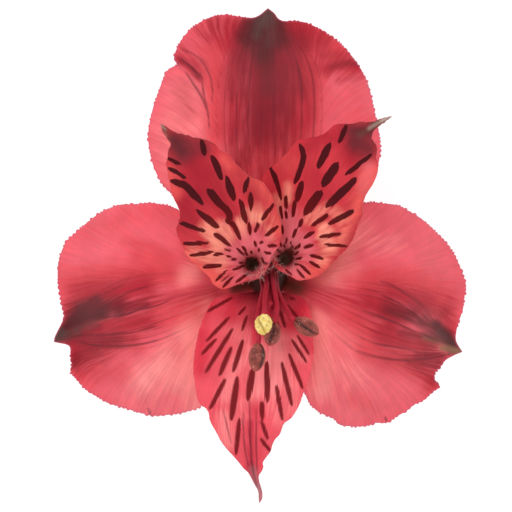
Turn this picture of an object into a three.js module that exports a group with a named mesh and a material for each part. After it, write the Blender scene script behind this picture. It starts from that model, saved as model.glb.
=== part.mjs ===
// One alstroemeria bloom, picked with its own short stalk and lying face up on a flat surface.
//
// Millimetres, +Z up. The surface is z = 0 and the origin lies on it, under the middle of the bloom.
// Three broad outer tepals leave the top of the ovary, arch outwards and come down until their tips
// lie on the surface. Three narrower inner tepals stand above them: the upper two are drawn down
// into nectary tubes, and the lower one is an open trough under the stamens. Six stamens and the
// style rise out of the middle, and the stalk bends away below the ovary and lies on the surface.
//
// Every tepal is drawn in its own flat frame: "along" runs from the flower's axis (or, on the two
// tubular tepals, from the mouth of the tube) towards the tip, and "across" is positive to the left
// of somebody looking that way. Its outline is two lists of points, one for each side, that run
// from the base to the tip they share.

import * as THREE from "three";

// ---------------------------------------------------------------- driving dimensions

const AXIS = { x: 1.2, y: -2.61 }; // where the flower's axis stands, seen from the middle of the bloom
const OVARY_TOP = 11; // height of the disc that carries tepals, stamens and style
const SEAT_GAP = 0.3; // clearance between a piece and what carries it
const TEPAL_THICKNESS = 0.6;
const CROWN = 11.6; // height at which the upper faces of the open tepals start

const OUTER_CLAW = 2.9; // distance of the outer tepals' claws from the axis
const INNER_CLAW = 2.6; // the same for the lower inner tepal
const CLAW_HALF_WIDTH = 1.2;
const SIDE_SHARE = 0.8; // how far a step across a tepal counts as a step away from the axis
const VEIN_BEND = 0.24; // how strongly the veins leave the claw along the midrib before they fan out

const TUBE_FLOOR = 11.9; // height of the floor of both nectary tubes
const TUBE_WIDTH = 1.5; // distance from the tube's middle at which its wall is steepest
const TUBE_RING = 1.9; // radius of the round part of the mesh at a mouth

const FILAMENT_RADIUS = 0.42;
const BUNDLE_RADIUS = 1.0; // of the ring of six filaments round the style
const STYLE_RADIUS = 0.32;
const STALK_RADIUS = 1.15;

// ---------------------------------------------------------------- the six tepals

// Height of an outer tepal's upper face, by share of the way from claw to tip.
const OUTER_RISE = [
  [0, CROWN],
  [0.045, 13.3],
  [0.11, 15.4],
  [0.225, 17.9],
  [0.36, 18.9],
  [0.5, 17.5],
  [0.64, 13.4],
  [0.78, 7],
  [0.86, 2.8],
  [0.92, 0.5],
  [1, 0],
  [1.1, 0],
];

// The same for the lower inner tepal, which stays clear of the surface.
const LOWER_RISE = [
  [0, CROWN],
  [0.03, 14.8],
  [0.08, 17.8],
  [0.16, 20.4],
  [0.27, 22.4],
  [0.43, 23.6],
  [0.59, 23.1],
  [0.75, 20.8],
  [0.91, 18],
  [1, 17.2],
];

// Height of the two tubular tepals' upper faces over the mouth, by distance along from it.
const HOOD_RISE = [
  [-3, 0],
  [0, 0],
  [6, 2.4],
  [12, 5.2],
  [18, 8.2],
  [22, 10.4],
  [26, 12],
];

const OUTER_TEPALS = [
  {
    name: "outer_tepal_top",
    heading: 90,
    foot: 0,
    tip: [39.1, 0],
    left: [
      [3.8, 1.5], [5.5, 3.6], [7.8, 8.2], [10.6, 13], [13.9, 16], [17.5, 17.3], [20.5, 17.6],
      [24, 17], [27, 16], [28.7, 15.4], [30, 14.7], [30.9, 13.3], [31.9, 13.8], [33.2, 13.4],
      [34.5, 12.7], [35.9, 11.5], [37.1, 9.8], [37.9, 8], [38.1, 6.2], [37.8, 4], [37.7, 3],
      [37.8, 2.1], [38.4, 1.1],
    ],
    right: [
      [3.8, -1.5], [5.5, -3.6], [7.6, -7.6], [10.2, -12], [13.2, -15], [16.5, -16.3],
      [19.8, -16.4], [22.6, -15.9], [25, -15.4], [27.9, -14.7], [31, -13.1], [33.6, -10.9],
      [35.8, -8], [37, -5.4], [37.2, -3.6], [37, -2.1], [37.8, -1.2], [38.7, -0.6],
    ],
  },
  {
    name: "outer_tepal_left",
    heading: 197.9,
    foot: 0.63,
    tip: [33.2, 0],
    left: [
      [3.8, 2.2], [6.5, 5.2], [9.5, 10.5], [12.5, 14.2], [15.5, 15.6], [17.9, 15.7], [20.1, 15.4],
      [22.5, 14.8], [24.3, 13.8], [26, 12.6], [28.2, 11.1], [29.6, 9.6], [30.8, 8.2], [31.6, 6.5],
      [32.2, 5], [31.7, 3.9], [31.5, 2.6], [31.2, 1.4], [31.6, 0.9], [32.3, 0.5],
    ],
    right: [
      [3.7, -0.9], [5.8, -4.5], [8, -9.5], [9.8, -13], [11.7, -14.3], [13.3, -15.1], [15.5, -15.6],
      [17.5, -16.2], [19.6, -16.2], [21.3, -15.9], [23.2, -15.2], [25.2, -14.3], [26.9, -13.5],
      [28.2, -12.1], [29.2, -10.4], [29.8, -8.7], [30.1, -6.9], [30.4, -4.8], [30.6, -3.2],
      [31.2, -2.4], [32.3, -1.3], [33, -0.5],
    ],
  },
  {
    name: "outer_tepal_right",
    heading: -22.1,
    foot: -0.41,
    tip: [31, 0],
    left: [
      [3.8, 1.1], [6, 5.5], [7.8, 11], [9.3, 14.8], [12.1, 15.9], [14.1, 16.4], [15.9, 16.2],
      [17.4, 16], [19.1, 15.5], [20.8, 14.8], [22.5, 14.1], [24.2, 13], [25.7, 11.7], [26.8, 10.5],
      [27.8, 9.2], [28.2, 7.6], [28.7, 5.6], [28.8, 4], [29, 2.6], [29.5, 1.2],
    ],
    right: [
      [3.8, -2], [6.8, -5.2], [9.5, -10], [11.6, -14.1], [12.5, -15.1], [14.2, -16], [16, -16.2],
      [17.1, -16.2], [18.2, -16.7], [20.2, -16.2], [22.1, -15.3], [22.9, -14.6], [24.6, -13.8],
      [25.4, -12.7], [26.5, -11.3], [27.4, -9.8], [28.4, -8.7], [29.1, -7.2], [29.8, -6],
      [29, -5.7], [28.4, -4.4], [28.8, -3.3], [29.1, -2.2], [30, -1],
    ],
  },
];

const LOWER_TEPAL = {
  name: "inner_tepal_lower",
  heading: -92.2,
  foot: 0,
  tip: [33.9, 0],
  left: [
    [3.1, 1.6], [3, 3.4], [3.4, 5.2], [5.2, 6.3], [7, 6.7], [9.2, 6.9], [11.5, 7.1], [13.7, 6.8],
    [16, 6.3], [17.8, 5.7], [19.6, 5.1], [21.3, 4], [21.9, 3.2], [23.6, 2.6], [24.3, 2],
    [25.2, 1.6], [26.1, 1.4], [27, 0.8], [27.9, 0.3], [28.5, 0.4], [29.1, 0.2], [29.8, -0.2],
    [30.7, -0.1], [31.5, 0.2], [32.2, 0.4], [33.2, 0.4],
  ],
  right: [
    [3.1, -1.6], [3.2, -3.6], [3.6, -6.2], [4.4, -7.9], [5.9, -8.7], [8, -9.5], [10.3, -10],
    [13.5, -10.4], [17, -10], [19.4, -9.3], [20.4, -8.1], [22.1, -7.6], [23.6, -6.7], [25, -5.9],
    [26.1, -5], [27, -4.1], [28.2, -3], [28.8, -2.5], [29.4, -1.8], [30.2, -1.3], [31.1, -0.8],
    [32.1, -0.2], [33.1, -0.1],
  ],
};

// "mouth" is where the tube opens, and "foot" how far its floor is shifted towards the ovary, both
// in the flower's frame. "lift" raises each side: the left tepal lies over the edge of the right one.
const TUBULAR_TEPALS = [
  {
    name: "inner_tepal_upper_left",
    heading: 123.3,
    mouth: [-2.35, 1.32, 20.9],
    foot: [0, 0],
    lift: { left: 0.6, right: 2.4 },
    base: [-2.35, 0.6],
    tip: [24.5, -0.1],
    left: [
      [-2, 2], [-1.7, 3.4], [-1.2, 4.7], [-0.6, 5.7], [0.5, 6.1], [2.5, 6.5], [4.3, 7],
      [6.1, 7.3], [7.7, 7.2], [9, 7], [10.3, 6.5], [11.1, 5.6], [12.6, 4.5], [13.9, 4.3],
      [16.1, 3.7], [17.8, 2.9], [19.3, 2.3], [20.7, 0.9], [21.2, 0.3], [22.3, 0.3], [23.3, 0.3],
    ],
    right: [
      [-2.2, -0.4], [-1.7, -1.5], [-0.8, -2.8], [-0.1, -4.2], [1, -5.6], [2.5, -6.7],
      [4.1, -7.3], [5.8, -7.7], [7.8, -7.9], [9.7, -7.5], [11.4, -6.4], [12.7, -6.1], [14, -5.9],
      [15.1, -6], [16.5, -5.2], [17.9, -5], [18.9, -4.2], [20.4, -2.9], [21.2, -2.1],
      [22, -1.4], [22.6, -1], [23.5, -0.6],
    ],
  },
  {
    name: "inner_tepal_upper_right",
    heading: 53.1,
    mouth: [2.79, 2.5, 19.3],
    foot: [-0.6, -0.8],
    lift: { left: -1, right: 1 },
    base: [-2.5, -0.3],
    tip: [25.5, 0],
    left: [
      [-2.1, 0.6], [-1.4, 1.9], [0.2, 3.8], [2.4, 6], [4.4, 8.2], [6.6, 9.7], [8, 9.9], [9.5, 9.7],
      [11.7, 9.1], [14.6, 8.8], [16.3, 7.6], [17, 6.9], [18.2, 6.3], [19.3, 6], [20.3, 5.1],
      [20.8, 4.3], [22.1, 3.2], [23.2, 1.7], [24.2, 1.1], [25, 0.5],
    ],
    right: [
      [-2.4, -2.1], [-1.9, -3.5], [-0.8, -4.7], [0.5, -5.5], [2.5, -5.8], [4.1, -6], [6.1, -6.3],
      [7.9, -6.1], [9.7, -5.6], [11.4, -5.2], [12.4, -4.5], [13.9, -3.9], [15.8, -3.7],
      [17.5, -3.2], [18.5, -2.6], [19.3, -1.7], [20.6, -0.9], [20.9, -0.2], [21.3, 0.4],
      [22.1, 0.6], [23.2, 0.4], [24.6, 0.1],
    ],
  },
];

const OUTER_MESH = { columns: 46, rows: 8 };
const LOWER_MESH = { columns: 44, rows: 8 };
const TUBULAR_MESH = { columns: 46, rows: 10, tubeRows: 4 };
const OUTER_ROLL = 0.012; // how fast the sides of an outer tepal fall away, per mm squared
const GROOVE = { depth: 0.5, width: 2.6 }; // of the channel along a midrib
const RUFFLE = { height: 0.35, waves: 5 }; // of the margin of an outer tepal
const LOBE_ROLL = 0.016; // how fast the ears beside a nectary mouth fall away, per mm squared

// ---------------------------------------------------------------- stamens and style

// Where the middle of the bundle of filaments passes, in the flower's frame.
const BUNDLE = [
  [0, 0, OVARY_TOP + SEAT_GAP],
  [0.1, -1, 15],
  [0.3, -2.4, 19],
];

// Each filament starts at its own place round the style, and leaves the bundle through "path".
// "yaw" and "pitch" aim the anther, in degrees, from the filament's end outwards.
const STAMENS = [
  {
    place: 120,
    path: [[-0.35, -2.8, 24], [-0.5, -4.3, 28.4], [-0.5, -5.6, 31]],
    anther: { length: 3.4, width: 2.7, depth: 2.3, yaw: -95, pitch: 4, turn: 30 },
  },
  {
    place: 60,
    path: [[1.1, -3.4, 24], [1.35, -5.2, 27.4], [1.1, -6.8, 28.9]],
    anther: { length: 4, width: 2.5, depth: 2, yaw: -103, pitch: -4, turn: 0 },
  },
  {
    place: 0,
    path: [[2.1, -4.1, 23.5], [3, -5.6, 27], [3.5, -6.6, 29.2]],
    anther: { length: 4.3, width: 2.6, depth: 2.1, yaw: -31, pitch: -6, turn: 12 },
  },
  {
    place: 180,
    path: [[-1.2, -4.6, 23], [-1.6, -7.2, 26.2], [-1.35, -9.8, 27.8]],
    anther: { length: 4.4, width: 2.5, depth: 2.1, yaw: -96, pitch: -6, turn: 0 },
  },
  {
    place: 240,
    path: [[0, -4.4, 22.2], [0.2, -5.4, 24.4], [0.3, -6.2, 25.5]],
    anther: { length: 3.8, width: 2.3, depth: 1.8, yaw: -90, pitch: -2, turn: 0 },
  },
  {
    place: 300,
    path: [[0.9, -4.2, 20.9], [0.8, -5.2, 22.6], [0.5, -6.1, 23.1]],
    anther: { length: 3.6, width: 2.2, depth: 1.7, yaw: -94, pitch: 4, turn: 0 },
  },
];
const STYLE_PATH = [[0.25, -3.5, 22.3], [0.3, -4.2, 25], [0.25, -4.6, 27]];

// ---------------------------------------------------------------- ovary and stalk

const OVARY_FOOT = [0, -3.5, 3.9]; // the ovary leans, so that the stalk can bend onto the surface
const OVARY_RADII = [1.2, 1.7, 2.4, 3, 3.4, 3.5, 3.1]; // from the foot to the top
const RIBS = { count: 6, share: 0.08 };
const STALK_PATH = [
  [0, -3.64, 3.62],
  [0, -4.15, 2.7],
  [0, -5.4, 1.65],
  [0, -7.6, 1.1],
  [-0.2, -12, 1.06],
  [-0.9, -17, 1.06],
  [-1.8, -21, 1.06],
  [-2.3, -25, 1.06],
];

// ---------------------------------------------------------------- colours

const COLOURS = {
  outer: 0xdf5f6e,
  inner: 0xd8575c,
  filament: 0x8c2434,
  ripeAnther: 0xebc573,
  closedAnther: 0x74413c,
  style: 0xa03a48,
  green: 0x7c8f4e,
};

function finish(colour, roughness = 0.6) {
  return new THREE.MeshStandardMaterial({ color: colour, roughness, metalness: 0 });
}

// ---------------------------------------------------------------- closed meshes

// A smooth function through [x, y] points with rising x.
function through(points) {
  const slope = (i) => {
    const a = points[Math.max(i - 1, 0)];
    const b = points[Math.min(i + 1, points.length - 1)];
    return (b[1] - a[1]) / (b[0] - a[0]);
  };
  return (x) => {
    let i = 0;
    while (i < points.length - 2 && x > points[i + 1][0]) {
      i += 1;
    }
    const [x0, y0] = points[i];
    const [x1, y1] = points[i + 1];
    const step = x1 - x0;
    const t = THREE.MathUtils.clamp((x - x0) / step, 0, 1);
    const before = slope(i) * step;
    const after = slope(i + 1) * step;
    const bend = 3 * (y1 - y0) - 2 * before - after;
    return y0 + t * (before + t * (bend + t * (before + after - 2 * (y1 - y0))));
  };
}

function geometryOf(positions, triangles) {
  const geometry = new THREE.BufferGeometry();
  geometry.setAttribute("position", new THREE.Float32BufferAttribute(positions, 3));
  geometry.setIndex(triangles);
  return geometry;
}

// Gives a sheet its thickness. "sheet" holds the upper face as points and triangles, and the loop of
// points round its edge, clockwise from above. The lower face lies a thickness below it along the
// normals and has the same triangles. Nothing reaches below the surface: it is pressed flat there.
function thicken(sheet, thickness) {
  const upper = geometryOf(sheet.points.flatMap((p) => [p.x, p.y, p.z]), sheet.triangles);
  upper.computeVertexNormals();
  const normals = upper.getAttribute("normal");
  const count = sheet.points.length;
  const positions = [];
  sheet.points.forEach((p) => positions.push(p.x, p.y, Math.max(p.z, thickness)));
  sheet.points.forEach((p, i) => {
    const z = p.z - thickness * normals.getZ(i);
    positions.push(p.x - thickness * normals.getX(i), p.y - thickness * normals.getY(i));
    positions.push(Math.max(z, 0));
  });
  const triangles = [...sheet.triangles];
  for (let i = 0; i < sheet.triangles.length; i += 3) {
    const [a, b, c] = sheet.triangles.slice(i, i + 3);
    triangles.push(a + count, c + count, b + count);
  }
  sheet.edge.forEach((a, i) => {
    const b = sheet.edge[(i + 1) % sheet.edge.length];
    triangles.push(a, b, b + count, a, b + count, a + count);
  });
  return geometryOf(positions, triangles);
}

// A body through rings of points, each ring anticlockwise seen from the last one, closed at both
// ends by flat fans.
function loft(rings) {
  const sides = rings[0].length;
  const points = rings.flat();
  const triangles = [];
  for (let k = 0; k + 1 < rings.length; k += 1) {
    for (let i = 0; i < sides; i += 1) {
      const a = k * sides + i;
      const b = k * sides + ((i + 1) % sides);
      triangles.push(a, b, b + sides, a, b + sides, a + sides);
    }
  }
  const middle = (ring) =>
    ring.reduce((sum, p) => sum.add(p), new THREE.Vector3()).divideScalar(sides);
  const last = (rings.length - 1) * sides;
  const first = points.push(middle(rings[0])) - 1;
  const end = points.push(middle(rings[rings.length - 1])) - 1;
  for (let i = 0; i < sides; i += 1) {
    const next = (i + 1) % sides;
    triangles.push(first, next, i, end, last + i, last + next);
  }
  return geometryOf(points.flatMap((p) => [p.x, p.y, p.z]), triangles);
}

// Rings round a curve. "radius" gives the distance from the curve by share of its length and angle.
function tube(path, radius, segments, sides) {
  const curve = new THREE.CatmullRomCurve3(path.map((p) => new THREE.Vector3(...p)));
  const frames = curve.computeFrenetFrames(segments, false);
  const rings = [];
  for (let k = 0; k <= segments; k += 1) {
    const share = k / segments;
    const centre = curve.getPointAt(share);
    rings.push(
      Array.from({ length: sides }, (_, i) => {
        const angle = (2 * Math.PI * i) / sides;
        return centre
          .clone()
          .addScaledVector(frames.normals[k], radius(share, angle) * Math.cos(angle))
          .addScaledVector(frames.binormals[k], radius(share, angle) * Math.sin(angle));
      }),
    );
  }
  return loft(rings);
}

// ---------------------------------------------------------------- tepals

// Points along one side of an outline, evenly spaced but closer together towards the tip.
function sidePoints(points, count) {
  const crowding = 1.25;
  const curve = new THREE.CatmullRomCurve3(
    points.map(([along, across]) => new THREE.Vector3(along, across, 0)),
    false,
    "centripetal",
  );
  return Array.from({ length: count + 1 }, (_, i) =>
    curve.getPointAt(1 - (1 - i / count) ** crowding),
  );
}

// Turns a tepal's own frame into the flower's.
function place(heading, along, across, height, origin = [0, 0]) {
  const angle = THREE.MathUtils.degToRad(heading);
  return new THREE.Vector3(
    origin[0] + along * Math.cos(angle) - across * Math.sin(angle),
    origin[1] + along * Math.sin(angle) + across * Math.cos(angle),
    height,
  );
}

// Rows of points from the claw to the margin, along the veins.
function openTepal(tepal, claw, height, { columns, rows }) {
  const half = columns / 2;
  const left = sidePoints([...tepal.left, tepal.tip], half);
  const right = sidePoints([...tepal.right, tepal.tip], half).reverse();
  const margin = [...left, ...right.slice(1)];
  const points = [];
  for (let j = 0; j <= rows; j += 1) {
    const v = (1 - Math.cos((Math.PI * j) / rows)) / 2;
    margin.forEach((m, i) => {
      const u = i / columns;
      const start = tepal.foot + CLAW_HALF_WIDTH * (1 - 2 * u);
      const along = claw + (m.x - claw) * (v + VEIN_BEND * v * (1 - v));
      const across = start + (m.y - start) * (v - VEIN_BEND * v * (1 - v));
      points.push(place(tepal.heading, along, across, height(along, across, u, v)));
    });
  }
  const width = columns + 1;
  const triangles = [];
  for (let j = 0; j < rows; j += 1) {
    for (let i = 0; i < columns; i += 1) {
      const a = j * width + i;
      triangles.push(a, a + 1, a + 1 + width, a, a + 1 + width, a + width);
    }
  }
  const edge = [];
  for (let j = 0; j < rows; j += 1) edge.push(j * width);
  for (let i = 0; i < columns; i += 1) edge.push(rows * width + i);
  for (let j = rows; j > 0; j -= 1) edge.push(j * width + columns);
  for (let i = columns; i > 0; i -= 1) edge.push(i);
  return { points, triangles, edge };
}

function groove(across) {
  return GROOVE.depth * Math.exp(-((across / GROOVE.width) ** 2));
}

function outerTepal(tepal) {
  const rise = through(OUTER_RISE);
  const height = (along, across, u, v) => {
    const away = Math.hypot(along, SIDE_SHARE * across);
    const share = (away - OUTER_CLAW) / (tepal.tip[0] - OUTER_CLAW);
    const ruffle = RUFFLE.height * v ** 3 * Math.sin(2 * Math.PI * RUFFLE.waves * u);
    const settled = THREE.MathUtils.smoothstep(share, 0.75, 0.92);
    const shape = ruffle - OUTER_ROLL * across ** 2 - groove(across) * v * (1 - v) * 4;
    return rise(share) + shape * (1 - settled);
  };
  return thicken(openTepal(tepal, OUTER_CLAW, height, OUTER_MESH), TEPAL_THICKNESS);
}

function lowerTepal(tepal) {
  const rise = through(LOWER_RISE);
  const height = (along, across) => {
    const away = Math.hypot(along, SIDE_SHARE * across);
    const share = (away - INNER_CLAW) / (tepal.tip[0] - INNER_CLAW);
    return rise(share) - groove(across) * THREE.MathUtils.smoothstep(share, 0.1, 0.4);
  };
  return thicken(openTepal(tepal, INNER_CLAW, height, LOWER_MESH), TEPAL_THICKNESS);
}

// Rings from the floor of the tube to its mouth, which then widen until they are the margin.
function tubularTepal(tepal) {
  const { columns, rows, tubeRows } = TUBULAR_MESH;
  const half = columns / 2;
  const left = sidePoints([tepal.base, ...tepal.left, tepal.tip], half);
  const right = sidePoints([tepal.base, ...tepal.right, tepal.tip], half).reverse();
  const margin = [...left, ...right.slice(1, -1)];
  const rise = through(HOOD_RISE);
  const point = (along, across) => {
    const away = Math.hypot(along, across);
    const sunk = Math.exp(-((away / TUBE_WIDTH) ** 2));
    const lift = (across > 0 ? tepal.lift.left : tepal.lift.right) * (across / 7) ** 2;
    const ears = LOBE_ROLL * across ** 2 * THREE.MathUtils.smoothstep(-along, -6, 2);
    const open = tepal.mouth[2] + rise(along) + lift - ears;
    const height = open + (TUBE_FLOOR - open) * sunk;
    const origin = [0, 1].map((k) => tepal.mouth[k] + tepal.foot[k] * sunk);
    return place(tepal.heading, along, across, height, origin);
  };
  const points = [point(0, 0)];
  const triangles = [];
  for (let j = 1; j <= rows; j += 1) {
    margin.forEach((m, i) => {
      const angle = Math.PI * (1 - (2 * i) / columns);
      const away = TUBE_RING * Math.min(1, j / tubeRows);
      const outwards = Math.max(0, (j - tubeRows) / (rows - tubeRows));
      const along = THREE.MathUtils.lerp(away * Math.cos(angle), m.x, outwards);
      const across = THREE.MathUtils.lerp(away * Math.sin(angle), m.y, outwards);
      points.push(point(along, across));
      const a = 1 + (j - 1) * columns + i;
      const b = 1 + (j - 1) * columns + ((i + 1) % columns);
      if (j === 1) triangles.push(0, b, a);
      else triangles.push(a - columns, b - columns, b, a - columns, b, a);
    });
  }
  const edge = Array.from({ length: columns }, (_, i) => 1 + (rows - 1) * columns + i);
  return thicken({ points, triangles, edge }, TEPAL_THICKNESS);
}

// ---------------------------------------------------------------- stamens, style, ovary, stalk

function bundlePoint([x, y, z], angle) {
  const turn = THREE.MathUtils.degToRad(angle);
  return [x + BUNDLE_RADIUS * Math.cos(turn), y + BUNDLE_RADIUS * Math.sin(turn), z];
}

function filament(stamen) {
  const path = [...BUNDLE.map((p) => bundlePoint(p, stamen.place)), ...stamen.path];
  const radius = (share) => FILAMENT_RADIUS * (1 - 0.3 * share ** 4);
  return tube(path, radius, 14, 8);
}

// Two long pollen sacs side by side, with a furrow between them above and below.
function anther(stamen) {
  const { length, width, depth, yaw, pitch, turn } = stamen.anther;
  const rings = 9;
  const sides = 12;
  const body = Array.from({ length: rings }, (_, k) => {
    const share = (k + 0.35) / (rings - 0.3);
    const size = Math.sin(Math.PI * share) ** 0.55;
    return Array.from({ length: sides }, (_unused, i) => {
      const angle = (2 * Math.PI * i) / sides;
      const furrow = 1 - 0.22 * Math.abs(Math.sin(angle)) ** 6;
      return new THREE.Vector3(
        length * share,
        (width / 2) * size * Math.cos(angle),
        (depth / 2) * size * furrow * Math.sin(angle),
      );
    });
  });
  const end = new THREE.Vector3(...stamen.path[stamen.path.length - 1]);
  const angles = [turn, -pitch, yaw].map(THREE.MathUtils.degToRad);
  const aim = new THREE.Euler(...angles, "ZYX");
  const onwards = new THREE.Vector3(SEAT_GAP, 0, 0).applyEuler(aim);
  return loft(body)
    .applyMatrix4(new THREE.Matrix4().makeRotationFromEuler(aim))
    .translate(...end.add(onwards));
}

// The style ends in three short stigma lobes, still held together.
function style() {
  const lobes = (share, angle) =>
    THREE.MathUtils.smoothstep(share, 0.88, 1) * (0.25 + 0.35 * Math.cos(3 * angle));
  return tube(
    [...BUNDLE, ...STYLE_PATH],
    (share, angle) => STYLE_RADIUS * (1 + lobes(share, angle)),
    14,
    9,
  );
}

// The ovary has six ribs. Its rings turn from level, at the top, to square with the stalk.
function ovary() {
  const foot = new THREE.Vector3(...OVARY_FOOT);
  const top = new THREE.Vector3(0, 0, OVARY_TOP);
  const lean = new THREE.Vector3().subVectors(top, foot).normalize();
  const sides = 24;
  const last = OVARY_RADII.length - 1;
  return loft(
    OVARY_RADII.map((radius, k) => {
      const share = k / last;
      const normal = lean.clone().lerp(new THREE.Vector3(0, 0, 1), share ** 2).normalize();
      const towards = new THREE.Vector3(0, normal.z, -normal.y);
      const centre = foot.clone().lerp(top, share);
      return Array.from({ length: sides }, (_, i) => {
        const angle = (2 * Math.PI * i) / sides;
        const ribbed = 1 + RIBS.share * Math.sin(Math.PI * share) * Math.cos(RIBS.count * angle);
        return centre
          .clone()
          .add(new THREE.Vector3(radius * ribbed * Math.cos(angle), 0, 0))
          .addScaledVector(towards, radius * ribbed * Math.sin(angle));
      });
    }),
  );
}

// The stalk is flattened a little where it lies on the surface.
function stalk() {
  const geometry = tube(STALK_PATH, (share) => STALK_RADIUS * (1 - 0.06 * share), 22, 12);
  const position = geometry.getAttribute("position");
  for (let i = 0; i < position.count; i += 1) position.setZ(i, Math.max(position.getZ(i), 0));
  return geometry;
}

// ---------------------------------------------------------------- the bloom

const bloom = new THREE.Group();
bloom.position.set(AXIS.x, AXIS.y, 0);

function add(name, geometry, colour, roughness) {
  const mesh = new THREE.Mesh(geometry, finish(colour, roughness));
  mesh.name = name;
  bloom.add(mesh);
}

OUTER_TEPALS.forEach((tepal) => add(tepal.name, outerTepal(tepal), COLOURS.outer));
TUBULAR_TEPALS.forEach((tepal) => add(tepal.name, tubularTepal(tepal), COLOURS.inner));
add(LOWER_TEPAL.name, lowerTepal(LOWER_TEPAL), COLOURS.inner);
STAMENS.forEach((stamen, i) => {
  add(`filament_${i + 1}`, filament(stamen), COLOURS.filament, 0.5);
  const colour = i === 0 ? COLOURS.ripeAnther : COLOURS.closedAnther;
  add(`anther_${i + 1}`, anther(stamen), colour, 0.8);
});
add("style", style(), COLOURS.style, 0.5);
add("ovary", ovary(), COLOURS.green, 0.5);
add("stalk", stalk(), COLOURS.green, 0.5);

export default bloom;
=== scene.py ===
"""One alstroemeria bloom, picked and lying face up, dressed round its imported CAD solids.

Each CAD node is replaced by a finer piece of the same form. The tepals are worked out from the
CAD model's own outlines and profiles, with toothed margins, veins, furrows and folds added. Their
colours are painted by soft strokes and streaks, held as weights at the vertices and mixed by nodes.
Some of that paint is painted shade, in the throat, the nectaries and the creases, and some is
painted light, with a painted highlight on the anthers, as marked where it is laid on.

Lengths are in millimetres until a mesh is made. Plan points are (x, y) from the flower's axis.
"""

import math
from collections import namedtuple

import bpy
import numpy as np
from mathutils import Euler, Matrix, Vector


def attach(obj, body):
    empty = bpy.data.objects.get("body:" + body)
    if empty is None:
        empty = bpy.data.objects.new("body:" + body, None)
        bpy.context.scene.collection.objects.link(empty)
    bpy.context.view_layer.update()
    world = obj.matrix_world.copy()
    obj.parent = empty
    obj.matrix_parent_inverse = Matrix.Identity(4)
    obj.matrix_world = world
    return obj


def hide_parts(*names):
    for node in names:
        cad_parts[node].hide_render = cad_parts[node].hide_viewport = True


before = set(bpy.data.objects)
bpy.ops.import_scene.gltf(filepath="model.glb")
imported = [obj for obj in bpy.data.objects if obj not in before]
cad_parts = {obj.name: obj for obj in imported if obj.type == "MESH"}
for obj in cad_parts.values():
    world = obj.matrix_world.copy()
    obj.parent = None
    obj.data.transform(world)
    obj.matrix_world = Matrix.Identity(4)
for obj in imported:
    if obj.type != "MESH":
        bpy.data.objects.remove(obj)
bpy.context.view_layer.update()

MM = 0.001
RNG = np.random.default_rng(11)

# ---------------------------------------------------------------- sizes shared with the CAD model

AXIS = (1.2, -2.61, 0.0)  # where the flower's axis stands in the part's frame
OVARY_TOP = 11.0
CROWN = 11.6  # the height at which the tepals begin
SEAT_GAP = 0.3  # between the solids of neighbouring pieces
OUTER_CLAW, INNER_CLAW = 2.9, 2.6  # how far from the axis the open tepals begin
CLAW_HALF_WIDTH = 1.2
SIDE_SHARE = 0.8  # how much a step aside counts in a point's distance from the axis
VEIN_BEND = 0.24  # how much an open tepal's columns run ahead before they turn aside
CROWDING = 1.25  # crowds a margin's columns towards the tip
TUBE_FLOOR = 11.9  # the height of a nectary's bottom
TUBE_RING = 1.9  # how far from its middle a tubular tepal's columns stay evenly spread
OUTER_ROLL, LOBE_ROLL = 0.012, 0.016  # how fast the outer tepals' sides and the lobes fall away
GROOVE_DEPTH, GROOVE_WIDTH = 0.5, 2.6  # along an open tepal's middle
RUFFLE_HEIGHT, RUFFLE_WAVES = 0.35, 5
FILAMENT_RADIUS = 0.42
BUNDLE_RADIUS = 1.0
STYLE_RADIUS = 0.32
STALK_RADIUS = 1.15

# Heights of the tepals' middles, by share of their length. HOOD_RISE goes by millimetres instead.
OUTER_RISE = [
    (0, CROWN), (0.045, 13.3), (0.11, 15.4), (0.225, 17.9), (0.36, 18.9), (0.5, 17.5),
    (0.64, 13.4), (0.78, 7), (0.86, 2.8), (0.92, 0.5), (1, 0), (1.1, 0),
]
LOWER_RISE = [
    (0, CROWN), (0.03, 14.8), (0.08, 17.8), (0.16, 20.4), (0.27, 22.4), (0.43, 23.6),
    (0.59, 23.1), (0.75, 20.8), (0.91, 18), (1, 17.2),
]
HOOD_RISE = [(-3, 0), (0, 0), (6, 2.4), (12, 5.2), (18, 8.2), (22, 10.4), (26, 12)]

BUNDLE = [(0, 0, OVARY_TOP + SEAT_GAP), (0.1, -1, 15), (0.3, -2.4, 19)]
# place is the filament's angle round the bundle, and path its own upper points. size is the
# anther's length, width and depth, and turn its yaw, pitch and roll. furrow is how far the furrow
# is off its middle, as a share of its half-width.
Stamen = namedtuple("Stamen", "place path size turn furrow")
STAMENS = [
    Stamen(120, [(-0.35, -2.8, 24), (-0.5, -4.3, 28.4), (-0.5, -5.6, 31)],
           (3.2, 2.6, 2.3), (-95, 4, 30), 0),
    Stamen(60, [(1.1, -3.4, 24), (1.35, -5.2, 27.4), (1.1, -6.8, 28.9)],
           (3.7, 2.5, 2), (-103, -4, 0), 0),
    Stamen(0, [(2.1, -4.1, 23.5), (3, -5.6, 27), (3.5, -6.6, 29.2)],
           (4.3, 2.6, 2.1), (-31, -6, 12), 0),
    Stamen(180, [(-1.2, -4.6, 23), (-1.6, -7.2, 26.2), (-1.35, -9.8, 27.8)],
           (4.4, 2.5, 2.1), (-96, -6, 0), 0.7),
    Stamen(240, [(0, -4.4, 22.2), (0.2, -5.4, 24.4), (0.3, -6.2, 25.5)],
           (3.8, 2.3, 1.8), (-90, -2, 0), 0),
    Stamen(300, [(0.9, -4.2, 20.9), (0.8, -5.2, 22.6), (0.5, -6.1, 23.1)],
           (3.6, 2.2, 1.7), (-94, 4, 0), 0),
]
STYLE_PATH = [(0.25, -3.5, 22.3), (0.3, -4.2, 25), (0.25, -4.6, 27)]
OVARY_FOOT = (0, -3.5, 3.9)
OVARY_RADII = [1.2, 1.7, 2.4, 3, 3.4, 3.5, 3.1]
RIB_COUNT, RIB_SHARE = 6, 0.08
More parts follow.
